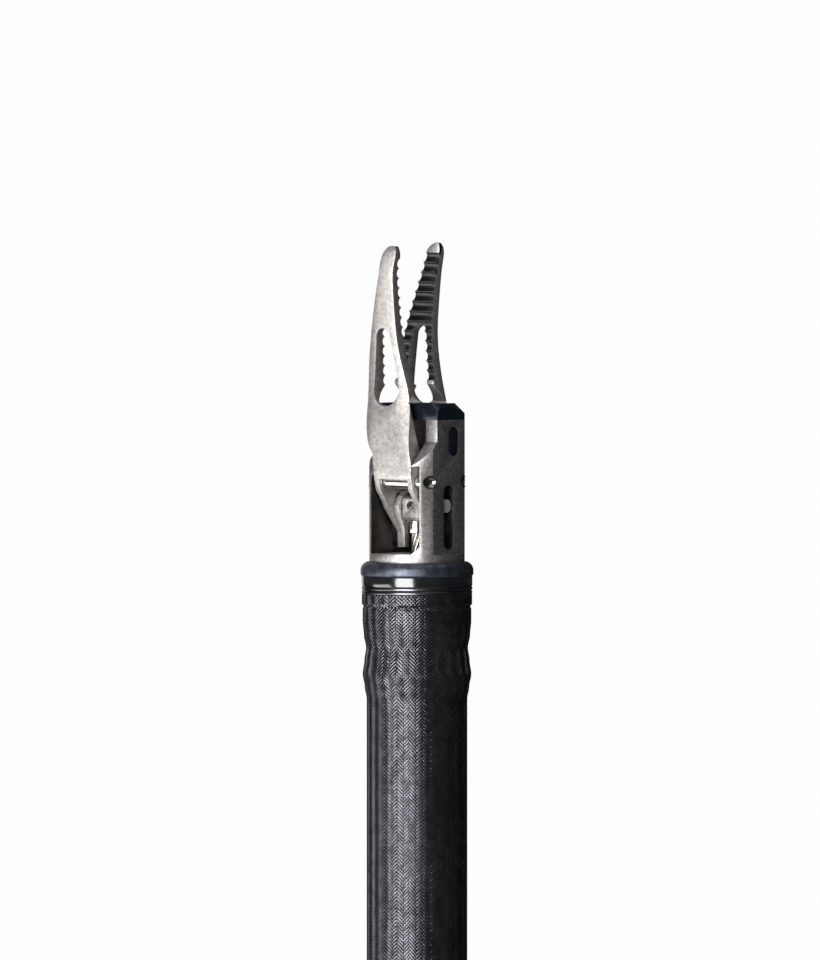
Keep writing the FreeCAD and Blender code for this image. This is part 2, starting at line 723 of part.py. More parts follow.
def spread(face, sign, low, high):
    """A face of the (outward, up) plane as a solid between two X places, outward being -Y or +Y."""
    turn = Rotation(Vector(0, sign, 0), Vector(0, 0, 1), Vector(sign, 0, 0), "XYZ")
    solid = face.copy()
    solid.Placement = Placement(Vector(low, 0, 0), turn)
    return solid.extrude(Vector(high - low, 0, 0))


def crown(sign, length):
    """A long block whose outer side follows the jaw's back and rounds it from side to side."""
    radius = size("crown_radius")
    middles = [-0.25, -0.4, -0.65, -0.8, -0.95, -1.05, -1.1, -1.0, -0.7, -0.2, 0.0]
    lifts = [0, 0, 0, 0, 0, 0, 0.02, 0.1, 0.22, 0.36, 0.4]
    left, right, inner = -3.3, 2.3, -1.5
    sections = []
    for (out, up), middle, lift in zip(back_curve(length), middles, lifts):
        raised = {middles[0]: up + 0.2, middles[-1]: up - 0.2}.get(middle, up)

        falls = [radius - math.sqrt(radius ** 2 - (x - middle) ** 2) for x in (left, right)]
        peak = Vector(middle, sign * (out + lift), raised)
        ends = [Vector(x, sign * (out + lift - fall), raised) for x, fall in zip((left, right), falls)]
        arc = Part.Arc(ends[0], peak, ends[1]).toShape()
        rest = straight(ends[1], (right, sign * inner, raised), (left, sign * inner, raised), ends[0])
        sections.append(Part.Wire([arc, *rest]))
    return Part.makeLoft(sections, True, False)


def make_jaw(node, sign, leg_in, leg_out, phase, length, slant):
    """A jaw whose back faces -Y for sign -1, +Y for sign 1. Phase shifts its teeth by part of a pitch."""
    reach = size("clevis_radius") + 1
    upright = Rotation(Vector(1, 0, 0), Vector(0, 0, 1), Vector(0, -1, 0), "XYZ")
    plan = Part.Face(blade_plan(length, slant))
    plan.Placement = Placement(Vector(0, -reach, 0), upright)
    side = spread(Part.Face(blade_side(length)), sign, -reach, reach)
    jaw = plan.extrude(Vector(0, 2 * reach, 0)).common(side)
    jaw = jaw.common(crown(sign, length))
    leg, slot = leg_outline(), cam_slot(size("drive_pin_radius") + size("play"))
    for low, high in ((-leg_out, -leg_in), (leg_in, leg_out)):
        jaw = jaw.fuse(spread(leg, sign, low, high))
    jaw = jaw.cut(spread(slot, sign, -reach, reach))
    hinge = Vector(0, sign * size("hinge_offset"), 0)
    bore = size("hinge_radius") + size("play")
    jaw = jaw.cut(Part.makeCylinder(bore, 2 * reach, hinge - Vector(reach, 0, 0), Vector(1, 0, 0)))
    jaw = jaw.cut(jaw_window(reach, length))
    jaw = jaw.cut(tooth_valleys(sign, phase, length))
    jaw.rotate(hinge, Vector(1, 0, 0), size("rest_angle") * -sign)
    jaw.translate(Vector(0, 0, size(HINGES)))
    shaped(node, jaw.removeSplitter())


def jaw_window(reach, length):
    """Tapered window through a blade, wider at the hinge end."""
    high, low = Vector(-1.22, -reach, 0.615 * length), Vector(-1.03, -reach, 0.391 * length)
    top, foot = size("window_top_radius"), size("window_low_radius")
    through = Vector(0, 1, 0)
    ends = [Part.makeCylinder(r, 2 * reach, c, through) for c, r in ((high, top), (low, foot))]
    along = low - high
    lean = (top - foot) / along.Length
    along.normalize()
    across = Vector(-along.z, 0, along.x) * math.sqrt(1 - lean * lean)
    sides = [along * lean + across, along * lean - across]
    corners = [high + sides[0] * top, low + sides[0] * foot, low + sides[1] * foot, high + sides[1] * top]
    middle = Part.Face(Part.makePolygon(corners + corners[:1]))
    return middle.extrude(Vector(0, 2 * reach, 0)).multiFuse(ends)


def tooth_valleys(sign, phase, length):
    """Round valleys across the gripping face, one less than the teeth they leave."""
    pitch, depth = size("tooth_pitch"), size("tooth_depth")
    half = pitch / 2
    radius = (half * half + depth * depth) / (2 * depth)
    start = size("clevis_above") + size("cap_height") + size("cap_gap") + 1.4
    count = int((length - 0.3 - start) / pitch - phase + 0.5)
    valleys = []
    for i in range(count):
        height = start + (i + phase) * pitch
        centre = Vector(-5, sign * (size("blade_gap") - (radius - depth)), height)
        valleys.append(Part.makeCylinder(radius, 10, centre, Vector(1, 0, 0)))
    return valleys[0].multiFuse(valleys[1:])


# The drive block, its pins and the crimp on the cable


def make_drive_block():
    pin = PIN_LEVEL
    body = block(
        "drive_block_body",
        ("-Sizes.block_half_x", "-Sizes.block_half_y", f"{pin} - Sizes.block_below"),
        ("Sizes.block_half_x", "Sizes.block_half_y", f"{pin} + Sizes.block_above"),
    )
    bevelled = doc.addObject("Part::Chamfer", "drive_block_bevel")
    bevelled.Base = body
    doc.recompute()
    edges = enumerate(body.Shape.Edges, start=1)
    long_edges = [number for number, e in edges if abs(e.tangentAt(e.FirstParameter).x) > 0.9]
    bevelled.Edges = [(i, 0.2, 0.2) for i in long_edges]
    across = rod_along("block_pin_seat", "X", "Sizes.drive_pin_radius", "-Sizes.block_half_x - 1",
                       "2 * Sizes.block_half_x + 2", z=pin)
    fore = rod_along("block_stud_seat", "Y", "Sizes.stud_radius", "-Sizes.block_half_y - 1", "1.15", z=pin)
    up = rod_along("block_cable_seat", "Z", "Sizes.cable_radius", f"{pin} - Sizes.block_below - 1",
                   "Sizes.block_below + 1 - Sizes.drive_pin_radius - 0.1")
    keep("drive_block", cut("drive_block", bevelled, across, fore, up))
    keep("drive_pin", rod_along("drive_pin", "X", "Sizes.drive_pin_radius", "-Sizes.clevis_flat + 0.12",
                                "2 * Sizes.clevis_flat - 0.24", z=pin))
    stud = rod_along("block_stud", "Y", "Sizes.stud_radius", "-Sizes.block_half_y - 0.12", "0.27", z=pin)
    keep("block_stud", stud)
    foot = f"({pin} - Sizes.block_below)"
    ferrule_foot = f"({foot} - Sizes.ferrule_length)"
    turned("cable_ferrule", tube_profile("Sizes.cable_radius", "Sizes.ferrule_radius", ferrule_foot, foot))


# The wrist: four pinned joints between the shaft and the clevis, under a braided sleeve


def joint_level(number):
    """Level of a wrist joint, 1 being the uppermost."""
    return f"({LOWEST_JOINT} + {JOINTS - number} * Sizes.joint_pitch)"


EAR_EDGE = "sqrt(Sizes.link_radius ^ 2 - Sizes.ear_width ^ 2 / 4)"


def ear(name, span, joint, low, high):
    """Flat ear with a round end on its joint and a strap between two levels. Span is its place along Y."""
    width = f"({span[1]}) - ({span[0]})"
    tip = rod_along(name + "_end", "Y", "Sizes.ear_width / 2", span[0], width, z=joint)
    half = "Sizes.ear_width / 2"
    return [tip, block(name + "_strap", (f"-{half}", span[0], low), (half, span[1], high))]


def make_link(node, low, high, upper_joint=None, lower_joint=None, bore="Sizes.link_bore"):
    """A wrist link: a drilled drum, outer ears up to the joint above, inner ears down to the one below."""
    height = f"({high}) - ({low})"
    solids = [rod_along(node + "_drum", "Z", "Sizes.link_radius", low, height)]
    for sign, side in (("", "rear"), ("-", "front")):
        outer = sorted([f"{sign}(Sizes.ear_split + Sizes.play)", f"{sign}{EAR_EDGE}"], key=size)
        inner = sorted([f"{sign}Sizes.ear_inside", f"{sign}Sizes.ear_split"], key=size)
        if upper_joint:
            solids += ear(f"{node}_upper_{side}", outer, upper_joint, f"{high} - 0.2", upper_joint)
        if lower_joint:
            solids += ear(f"{node}_lower_{side}", inner, lower_joint, lower_joint, f"{low} + 0.2")
    tools = [rod_along(node + "_bore", "Z", bore, f"{low} - 1", f"{height} + 2")]
    for joint, clearance, name in ((upper_joint, "0", "upper"), (lower_joint, "Sizes.play", "lower")):
        if joint:
            radius = f"Sizes.wrist_pin_radius + {clearance}"
            reach = "-Sizes.link_radius - 1"
            tools.append(rod_along(f"{node}_{name}_pin", "Y", radius, reach, f"-2 * ({reach})", z=joint))
    for sign, side in (("", "right"), ("-", "left")):
        tools.append(tendon_hole(f"{node}_{side}_hole", sign, f"{low} - 1", f"{height} + 2"))
    keep(node, cut(node, join(node + "_joined", *solids), *tools))


def tendon_hole(name, sign, start, length):
    radius = "Sizes.tendon_radius + 3 * Sizes.play"
    return rod_along(name, "Z", radius, start, length, x=f"{sign}Sizes.tendon_offset")


def make_wrist():
    first = joint_level(1)
    make_link(
        "wrist_head",
        f"{first} + Sizes.link_gap",
        f"({CUFF_TOP} - Sizes.seat_depth)",
        lower_joint=first,
        bore="Sizes.plug_radius",
    )
    for number in range(1, JOINTS):
        low = f"{joint_level(number + 1)} + Sizes.link_gap"
        high = f"{joint_level(number)} - Sizes.link_gap"
        make_link(f"wrist_link_{number}", low, high, joint_level(number), joint_level(number + 1))
    last = joint_level(JOINTS)
    make_link("wrist_base", TOP_OF_TUBE, f"{last} - Sizes.link_gap", upper_joint=last)
    for number in range(1, JOINTS + 1):
        stubs = []
        for side, start in (("rear", "Sizes.ear_inside"), ("front", f"-{EAR_EDGE}")):
            length = f"{EAR_EDGE} - Sizes.ear_inside"
            name = f"wrist_stub_{number}_{side}"
            level = joint_level(number)
            stubs.append(rod_along(name, "Y", "Sizes.wrist_pin_radius", start, length, z=level))
        group(f"wrist_pins_{number}", *stubs)
    plug_foot = f"({TOP_OF_TUBE} - Sizes.base_plug_length)"
    wall = tube_profile("Sizes.link_bore", "Sizes.shaft_bore", plug_foot, TOP_OF_TUBE)
    plug = turned_body("base_plug", wall)
    holes = []
    carrier = f"({BEND_RING_TOP} - Sizes.bend_ring_length / 2)"
    for sign, side in (("", "right"), ("-", "left")):
        length = "Sizes.base_plug_length + 2"
        holes.append(tendon_hole(f"plug_{side}_hole", sign, f"{plug_foot} - 1", length))
        end = f"{first} + Sizes.link_gap + 1.2"
        wire = rod_along(f"tendon_{side}", "Z", "Sizes.tendon_radius", carrier, f"{end} - {carrier}")
        keep(f"tendon_{side}", place(wire, f"{sign}Sizes.tendon_offset", z=carrier))
    keep("base_plug", cut("base_plug_drilled", plug, *holes))


def make_sleeve():
    """Braided sleeve: straight below, with a bulge and a waist over the first joint and a cuff on top."""
    foot = f"({TOP_OF_TUBE} + 0.1)"
    first = joint_level(1)
    turned(
        "braided_sleeve",
        [
            ("Sizes.sleeve_bore", foot),
            ("Sizes.sleeve_radius", foot),
            ("Sizes.sleeve_radius", f"{first} - 3.8"),
            ("(Sizes.sleeve_radius + Sizes.sleeve_bulge) / 2", f"{first} - 2.9"),
            ("Sizes.sleeve_bulge", f"{first} - 1.95"),
            ("(Sizes.sleeve_waist + Sizes.sleeve_bulge) / 2", f"{first} - 0.95"),
            ("Sizes.sleeve_waist", first),
            ("(Sizes.sleeve_waist + Sizes.sleeve_bulge) / 2 + 0.04", f"{first} + 1"),
            ("Sizes.sleeve_bulge", f"{first} + 2"),
            ("Sizes.sleeve_bulge", f"{CUFF_TOP} - 0.9"),
            ("Sizes.sleeve_bulge + 0.06", f"{CUFF_TOP} - 0.9"),
            ("Sizes.sleeve_bulge + 0.06", CUFF_TOP),
            ("Sizes.sleeve_radius", CUFF_TOP),
            ("Sizes.sleeve_radius", BAND_TOP),
            ("Sizes.sleeve_bore", BAND_TOP),
        ],
    )
    turned(
        "sleeve_ring",
        [
            ("Sizes.sleeve_radius", TOP_OF_TUBE),
            ("Sizes.ring_radius", TOP_OF_TUBE),
            ("Sizes.ring_radius", f"{TOP_OF_TUBE} + Sizes.lower_ring_height - 0.4"),
            ("Sizes.ring_radius - 0.3", f"{TOP_OF_TUBE} + Sizes.lower_ring_height"),
            ("Sizes.sleeve_radius", f"{TOP_OF_TUBE} + Sizes.lower_ring_height"),
        ],
    )
    bands = []
    for number in range(2):
        high = f"({BAND_TOP} - {number} * Sizes.band_height)"
        body = turned_body(
            f"band_{number}",
            [
                ("Sizes.sleeve_radius", f"{high} - Sizes.band_height"),
                ("Sizes.band_radius - 0.06", f"{high} - Sizes.band_height"),
                ("Sizes.band_radius", f"{high} - Sizes.band_height * 0.7"),
                ("Sizes.band_radius", f"{high} - Sizes.band_height * 0.3"),
                ("Sizes.band_radius - 0.06", high),
                ("Sizes.sleeve_radius", high),
            ],
        )
        bands.append(body)
    group("binding_rings", *bands)
    turned(
        "retaining_ring",
        [
            ("Sizes.spigot_radius", BAND_TOP),
            ("Sizes.band_radius", BAND_TOP),
            ("Sizes.band_radius", RETAINER_TOP),
            ("Sizes.spigot_radius", RETAINER_TOP),
        ],
    )
    turned(
        "collar",
        [
            ("Sizes.spigot_radius", RETAINER_TOP),
            ("Sizes.ring_radius - 0.06", RETAINER_TOP),
            ("Sizes.ring_radius", f"{RETAINER_TOP} + 0.15"),
            ("Sizes.ring_radius", f"{COLLAR_TOP} - 0.5"),
            ("Sizes.ring_radius - 0.12", f"{COLLAR_TOP} - 0.22"),
            ("Sizes.ring_radius - 0.4", COLLAR_TOP),
            ("Sizes.spigot_radius", COLLAR_TOP),
        ],
    )


# The shaft, the knob that turns it, the ring that bends the wrist and the drive rod


def make_shaft():
    foot = "(0 - Sizes.shaft_tail)"
    tube = turned_body(
        "shaft_tube",
        [
            ("Sizes.shaft_bore", foot),
            ("Sizes.tail_radius", foot),
            ("Sizes.tail_radius", "0"),
            ("Sizes.shaft_radius", "0"),
            ("Sizes.shaft_radius", TOP_OF_TUBE),
            ("Sizes.shaft_bore", TOP_OF_TUBE),
        ],
    )

    def hole(sketch):
        draw_circle(sketch, "0", f"{foot} + 4.5", "Sizes.flush_hole_radius")

    pierce(tube, "XZ_Plane", "flush_hole", hole)
    middle = f"({BEND_RING_TOP} - Sizes.bend_ring_length / 2)"
    travel = "(Sizes.bend_ring_length / 2 - 1.2)"
    slots = block(
        "carrier_slots",
        ("-Sizes.shaft_radius - 1", "-Sizes.carrier_half - 2 * Sizes.play", f"{middle} - {travel}"),
        ("Sizes.shaft_radius + 1", "Sizes.carrier_half + 2 * Sizes.play", f"{middle} + {travel}"),
    )
    keep("shaft_tube", cut("shaft_tube_slotted", tube, slots))
    for sign, side in (("", "right"), ("-", "left")):
        outer = f"{sign}(Sizes.bend_ring_radius - Sizes.bend_ring_wall - 5 * Sizes.play)"
        low, high = sorted([f"{sign}(Sizes.tendon_offset - 0.55)", outer], key=size)
        body = block(
            f"carrier_{side}_body",
            (low, "-Sizes.carrier_half", f"{middle} - Sizes.carrier_height / 2"),
            (high, "Sizes.carrier_half", f"{middle} + Sizes.carrier_height / 2"),
        )
        seat = rod_along(f"carrier_{side}_seat", "Z", "Sizes.tendon_radius", middle, "Sizes.carrier_height")
        place(seat, f"{sign}Sizes.tendon_offset", z=middle)
        keep(f"tendon_carrier_{side}", cut(f"tendon_carrier_{side}", body, seat))
    turned(
        "rod_seal",
        [
            ("Sizes.rod_radius + Sizes.play", f"{foot} + 0.5"),
            ("Sizes.shaft_bore", f"{foot} + 0.5"),
            ("Sizes.shaft_bore", f"{foot} + 2.6"),
            ("Sizes.rod_radius + 0.9", f"{foot} + 2.6"),
            ("Sizes.rod_radius + 0.5", f"{foot} + 1.6"),
            ("Sizes.rod_radius + Sizes.play", f"{foot} + 1.6"),
        ],
    )
    clip = f"({HOUSING_TOP} - Sizes.bush_length - 4 * Sizes.play)"
    turned(
        "shaft_circlip",
        tube_profile("Sizes.tail_radius", "Sizes.tail_radius + 1.6", f"{clip} - Sizes.clip_height", clip),
    )


def make_drive_rod():
    coupling = f"({TOP_OF_TUBE} - 22)"
    end = f"({PIN_LEVEL} - Sizes.drive_pin_radius - 0.1)"
    length = f"{end} - {coupling}"
    keep("drive_cable", rod_along("drive_cable", "Z", "Sizes.cable_radius", coupling, length))
    keep("drive_rod", rod_along("drive_rod", "Z", "Sizes.rod_radius", PIVOT, f"{coupling} - {PIVOT}"))
    half = "Sizes.coupler_length / 2"
    turned(
        "rod_coupler",
        [
            ("Sizes.rod_radius", f"{coupling} - {half}"),
            ("Sizes.coupler_radius", f"{coupling} - {half}"),
            ("Sizes.coupler_radius", f"{coupling} + {half}"),
            ("Sizes.cable_radius", f"{coupling} + {half}"),
            ("Sizes.cable_radius", coupling),
            ("Sizes.rod_radius", coupling),
        ],
    )
    ball = doc.addObject("Part::Sphere", "rod_ball_sphere")
    tie(ball, Radius="Sizes.ball_radius")
    place(ball, z=PIVOT)
    seat = rod_along("rod_ball_seat", "Z", "Sizes.rod_radius", PIVOT, "Sizes.ball_radius + 1")
    keep("rod_ball", cut("rod_ball", ball, seat))


def make_knob():
    """Fluted rotation knob, bonded to the shaft tube."""
    foot = "(0 - Sizes.knob_length)"
    knob = turned(
        "rotation_knob",
        [
            ("Sizes.tail_radius", foot),
            ("Sizes.knob_radius - 2", foot),
            ("Sizes.knob_radius", f"{foot} + 2"),
            ("Sizes.knob_radius", f"{foot} + Sizes.knob_length * 0.55"),
            ("Sizes.knob_radius * 0.62", "-1.2"),
            ("Sizes.knob_radius * 0.5", "0"),
            ("Sizes.tail_radius", "0"),
        ],
    )
    sketch = new_sketch(knob, "XY_Plane", "flute_sketch", "1")
    draw_circle(sketch, "Sizes.knob_radius + Sizes.flute_radius * 0.45", "0", "Sizes.flute_radius")
    flute = knob.newObject("PartDesign::Pocket", "flute")
    flute.Profile = sketch
    flute.Type = 0
    flute.setExpression("Length", "Sizes.knob_length - 3")
    ring_of(knob, flute, "flutes", "Sizes.flute_count")


def ring_of(body, feature, name, count):
    """Repeats a feature round the shaft's axis."""
    pattern = body.newObject("PartDesign::PolarPattern", name)
    pattern.Originals = [feature]
    pattern.Axis = (next(o for o in body.Origin.OriginFeatures if o.Role == "Z_Axis"), [""])
    pattern.Angle = 360
    pattern.setExpression("Occurrences", count)
    body.Tip = pattern
    doc.recompute()


def make_bend_ring():
    """Ribbed ring that turns on the shaft and draws the tendons through its inner screw."""
    foot = f"({BEND_RING_TOP} - Sizes.bend_ring_length)"
    inner = "(Sizes.bend_ring_radius - Sizes.bend_ring_wall)"
    bore = "Sizes.tail_radius + Sizes.play"
    ring = turned(
        "bend_ring",
        [
            (bore, foot),
            ("Sizes.bend_ring_radius - 1", foot),
            ("Sizes.bend_ring_radius", f"{foot} + 1"),
            ("Sizes.bend_ring_radius", f"{BEND_RING_TOP} - 1"),
            ("Sizes.bend_ring_radius - 1", BEND_RING_TOP),
            (bore, BEND_RING_TOP),
            (bore, f"{BEND_RING_TOP} - 1.8"),
            (inner, f"{BEND_RING_TOP} - 1.8"),
            (inner, f"{foot} + 1.8"),
            (bore, f"{foot} + 1.8"),
        ],
    )
    sketch = new_sketch(ring, "XY_Plane", "rib_sketch", f"{BEND_RING_TOP} + 1")
    draw_circle(sketch, "Sizes.bend_ring_radius + 0.35", "0", "0.9")
    groove = ring.newObject("PartDesign::Pocket", "rib_groove")
    groove.Profile = sketch
    groove.Type = 0
    groove.setExpression("Length", "Sizes.bend_ring_length + 2")
    ring_of(ring, groove, "rib_grooves", "Sizes.rib_count")


# The handle: two shells with a finger loop, and the thumb lever


def stadium_bar(near, far, half, bar):
    """A round bar bent into a closed loop with two straight sides and two round ends, in the XZ plane."""
    along = (far - near).normalize()
    across = Vector(-along.z, 0, along.x) * half
    wire = Part.Wire(
        [
            Part.makeLine(near + across, far + across),
            Part.Arc(far + across, far + along * half, far - across).toShape(),
            Part.makeLine(far - across, near - across),
            Part.Arc(near - across, near - along * half, near + across).toShape(),
        ]
    )
    section = Part.Wire(Part.Circle(near + across, along, bar).toShape())
    return wire.makePipeShell([section], True, False)


def finger_centres():
    top = size(HOUSING_TOP)
    near = Vector(size("finger_near"), 0, top - size("finger_drop"))
    return near, Vector(size("finger_far"), 0, near.z - size("finger_slant"))


def rounded_box(low, high, corner, ends):
    """A box with its long edges rounded, and then the edge round its lower end."""
    box = Part.makeBox(high.x - low.x, high.y - low.y, high.z - low.z, low)
    uprights = [e for e in box.Edges if abs(e.tangentAt(e.FirstParameter).z) > 0.9]
    box = box.makeFillet(corner, uprights)
    if ends:
        box = box.makeFillet(ends, [e for e in box.Edges if e.BoundBox.ZMax < low.z + 0.1])
    return box


def housing_outside():
    """The whole handle body before it is split: the housing, a web and the finger loop."""
    top, half_x, half_y = size(HOUSING_TOP), size("housing_half_x"), size("housing_half_y")
    low = Vector(-half_x, -half_y, top - size("housing_length"))
    corner = size("housing_corner")
    housing = rounded_box(low, Vector(half_x, half_y, top), corner, corner * 0.7)
    near, far = finger_centres()
    bar, half = size("loop_bar_radius"), size("finger_half")
    loop = stadium_bar(near, far, half, bar)
    reach, root = near.x - half * 0.9, half_x - 0.75 * bar
    corners = [
        Vector(root, 0, top - bar * 0.75),
        Vector(near.x + bar / 4, 0, near.z + half + bar * 0.8),
        Vector(reach + half / 3, 0, near.z + half * 0.62),
        Vector(reach, 0, near.z),
        Vector(reach + half / 3, 0, near.z - half * 0.62),
        Vector(near.x - bar / 2, 0, near.z - half - bar * 0.8),
        Vector(root, 0, near.z - half - bar * 0.2),
    ]
    web_half = size("web_half")
    web = Part.Face(Part.makePolygon(corners + corners[:1])).extrude(Vector(0, 2 * web_half, 0))
    web.translate(Vector(0, -web_half, 0))
    edges = [e for e in web.Edges if abs(e.tangentAt(e.FirstParameter).y) < 0.1]
    web = web.makeFillet(bar * 0.6, edges)
    return housing.fuse(loop).fuse(web)


def housing_inside():
    """What is taken out of the handle body: the cavity, the nose bore and the lever's mouth."""
    top, wall = size(HOUSING_TOP), size("housing_wall")
    half_x, half_y = size("housing_half_x") - wall, size("housing_half_y") - wall
    bush = size("bush_length")
    low = Vector(-half_x, -half_y, top - size("housing_length") + wall)
    cavity = rounded_box(low, Vector(half_x, half_y, top - bush), size("housing_corner") - wall, 0)
    nose = Part.makeCylinder(size("bush_radius"), bush + 1, Vector(0, 0, top - bush - 0.5))
    pivot = size(PIVOT)
    mouth_half = size("lever_head_half") + 12 * size("play")
    below, above = size("mouth_below"), size("mouth_above")
    corner = Vector(half_x - wall, -mouth_half, pivot - below)
    mouth = Part.makeBox(3 * wall, 2 * mouth_half, below + above, corner)
    return cavity.fuse(nose).fuse(mouth)


def screw_places():
    """Where the shells are screwed together, as (x, z)."""
    top, half_x, wall = size(HOUSING_TOP), size("housing_half_x"), size("housing_wall")
    foot = top - size("housing_length")
    head = size("screw_head_radius")
    boss = head + wall / 2
    left = -half_x + wall + head
    web = (half_x + size("web_screw_out"), top - size("web_screw_drop"))
    return [(left, top - size("bush_length") - boss), (left, foot + wall + boss), web]


def make_housing():
    outside, inside = housing_outside(), housing_inside()
    half_y, wall, play = size("housing_half_y"), size("housing_wall"), size("play")
    pivot = Vector(size("drive_arm"), 0, size(PIVOT))
    pin = size("lever_pin_radius")
    gap = size("lever_head_half") + 8 * play
    screw, head, sunk = size("screw_radius"), size("screw_head_radius"), size("screw_head_sunk")
    depths = [half_y, half_y, size("web_half")]
    places = [Vector(x, 0, z) for x, z in screw_places()]
    box = outside.BoundBox
    for node, sign in (("housing_right", -1), ("housing_left", 1)):
        side = Vector(0, sign, 0)
        corner = Vector(box.XMin - wall, min(0, sign * (half_y + wall)), box.ZMin - wall)
        room = Part.makeBox(box.XLength + 2 * wall, half_y + wall, box.ZLength + 2 * wall, corner)
        shell = outside.cut(inside).common(room)
        inner = half_y - 0.75 * wall
        bosses = [Part.makeCylinder(pin + wall, inner - gap, pivot + side * gap, side)]
        bosses += [Part.makeCylinder(head + 0.45 * wall, inner, at, side) for at in places[:2]]
        shell = shell.multiFuse(bosses)
        shell = shell.cut(Part.makeCylinder(pin, half_y - wall + 2 * play, pivot, side))
        for at, depth in zip(places, depths):
            if sign > 0:
                shell = shell.cut(Part.makeCylinder(screw, depth - wall, at, side))
            else:
                shell = shell.cut(Part.makeCylinder(screw, depth + wall, at, side))
                shell = shell.cut(Part.makeCylinder(head, 2 * sunk, at + side * (depth - sunk), side))
        shaped(node, shell.cut(port_hole()).removeSplitter())
    screws = []
    inwards = Vector(0, 1, 0)
    for at, depth in zip(places, depths):
        seat = at - inwards * (depth - sunk)
        shank = Part.makeCylinder(screw, 2 * depth - wall - sunk, seat, inwards)
        tall = sunk - 4 * play
        top = Part.makeCylinder(head - 2 * play, tall, seat - inwards * tall, inwards)
        drive = Part.makeCylinder(0.4 * head, 0.6 * sunk, seat - inwards * sunk, inwards)
        screws.append(top.cut(drive).fuse(shank).removeSplitter())
    shaped("housing_screws", Part.makeCompound(screws))
    inside = "(Sizes.housing_half_y - Sizes.housing_wall)"
    pin = rod_along("lever_pin", "Y", "Sizes.lever_pin_radius", f"-{inside}", f"2 * {inside}")
    keep("lever_pin", place(pin, "Sizes.drive_arm", f"-{inside}", PIVOT))
    bush_foot = f"({HOUSING_TOP} - Sizes.bush_length)"
    bush = tube_profile("Sizes.tail_radius + Sizes.play", "Sizes.bush_radius", bush_foot, HOUSING_TOP)
    turned("nose_bush", bush)


def port_hole():
    """Bore for the flushing port, through the housing's back wall on the split plane."""
    wall = size("housing_wall")
    start = Vector(-size("housing_half_x") - wall, 0, size(HOUSING_TOP) - size("housing_length") / 2)
    return Part.makeCylinder(size("port_radius"), 3 * wall, start, Vector(1, 0, 0))


def make_port():
    """Flushing port: a plain luer socket with a flange, through the housing's back wall."""
    x = "(0 - Sizes.housing_half_x)"
    z = f"({HOUSING_TOP} - Sizes.housing_length / 2)"
    stem = rod_along("port_stem", "X", "Sizes.port_radius", f"{x} - Sizes.port_length",
                     "Sizes.port_length + Sizes.housing_wall + 1.5", z=z)
    flange = rod_along("port_flange", "X", "Sizes.port_radius + 1.1", f"{x} - 1.5", "1.5", z=z)
    lip = rod_along("port_lip", "X", "Sizes.port_radius + 0.7", f"{x} - Sizes.port_length", "1.2", z=z)
    bore = rod_along("port_bore", "X", "Sizes.port_bore", f"{x} - Sizes.port_length - 1",
                     "Sizes.port_length + Sizes.housing_wall + 4", z=z)
    keep("flush_port", cut("flush_port", join("port_outside", stem, flange, lip), bore))


def make_lever():
    """Thumb lever: a slotted head on the pin, an arm and a round ring for the thumb."""
    pivot = Vector(size("drive_arm"), 0, size(PIVOT))
    ring_centre = Vector(size("thumb_reach"), 0, pivot.z - size("thumb_drop"))
    bar, ring, half = size("loop_bar_radius"), size("thumb_ring_radius"), size("lever_thickness") / 2
    head, head_half, arm_half = size("lever_head_radius"), size("lever_head_half"), size("lever_arm_half")
    ball, rod, pin, play = size("ball_radius"), size("rod_radius"), size("lever_pin_radius"), size("play")
    across_lever = Vector(0, 1, 0)
    torus = Part.makeTorus(ring, bar, ring_centre, across_lever)
    along = (ring_centre - pivot).normalize()
    up = Vector(-along.z, 0, along.x)
    end = ring_centre - along * ring
    neck = pivot + along * 3 * head
    upper = [pivot + up * 0.85 * arm_half, neck + up * arm_half, end + up * 1.25 * arm_half]
    lower = [end - up * 1.25 * arm_half, neck - up * arm_half, pivot - up * 0.85 * arm_half]
    corners = upper + lower
    arm = Part.Face(Part.makePolygon(corners + corners[:1])).extrude(across_lever * 2 * half)
    arm.translate(across_lever * -half)
    rims = [e for e in arm.Edges if abs(e.tangentAt(e.FirstParameter).y) < 0.1]
    arm = arm.makeFillet(size("lever_edge"), rims)
    eye = Part.makeCylinder(head, 2 * head_half, pivot - across_lever * head_half, across_lever)
    reach, tall = size("lever_nose_reach"), 1.7 * head
    corner = Vector(-reach, -head_half, pivot.z - tall / 2)
    nose = Part.makeBox(pivot.x + reach, 2 * head_half, tall, corner)
    lever = torus.multiFuse([arm, eye, nose])
    slot_half, groove_half = rod + 5 * play, ball + 3 * play
    start = -reach - rod
    corner = Vector(start, -slot_half, pivot.z - 2 * head)
    slot = Part.makeBox(pivot.x - pin - start, 2 * slot_half, 4 * head, corner)
    corner = Vector(start, -groove_half, pivot.z - ball - play)
    groove = Part.makeBox(ball + 7 * play - start, 2 * groove_half, 2 * (ball + play), corner)
    bore = Part.makeCylinder(pin + play, 4 * head_half, pivot - across_lever * 2 * head_half, across_lever)
    shaped("thumb_lever", lever.cut(slot).cut(groove).cut(bore).removeSplitter())


def check_and_write():
    """Stops on any failed object or bad solid, then writes one STEP file for each piece."""
    doc.recompute()
    for thing in doc.Objects:
        if {"Invalid", "Error"} & set(thing.State):
            raise ValueError(f"{thing.Name} is {thing.State}")
    os.makedirs("parts", exist_ok=True)
    for node, thing in sorted(parts.items()):
        shape = thing.Shape
        if shape.isNull() or not shape.isValid() or not shape.Solids:
            raise ValueError(f"{node} has no valid solid")
        shape.exportStep(f"parts/{node}.step")
        print(f"{node:22s} solids {len(shape.Solids)}  volume {shape.Volume:10.3f}")
    print(len(parts), "pieces")


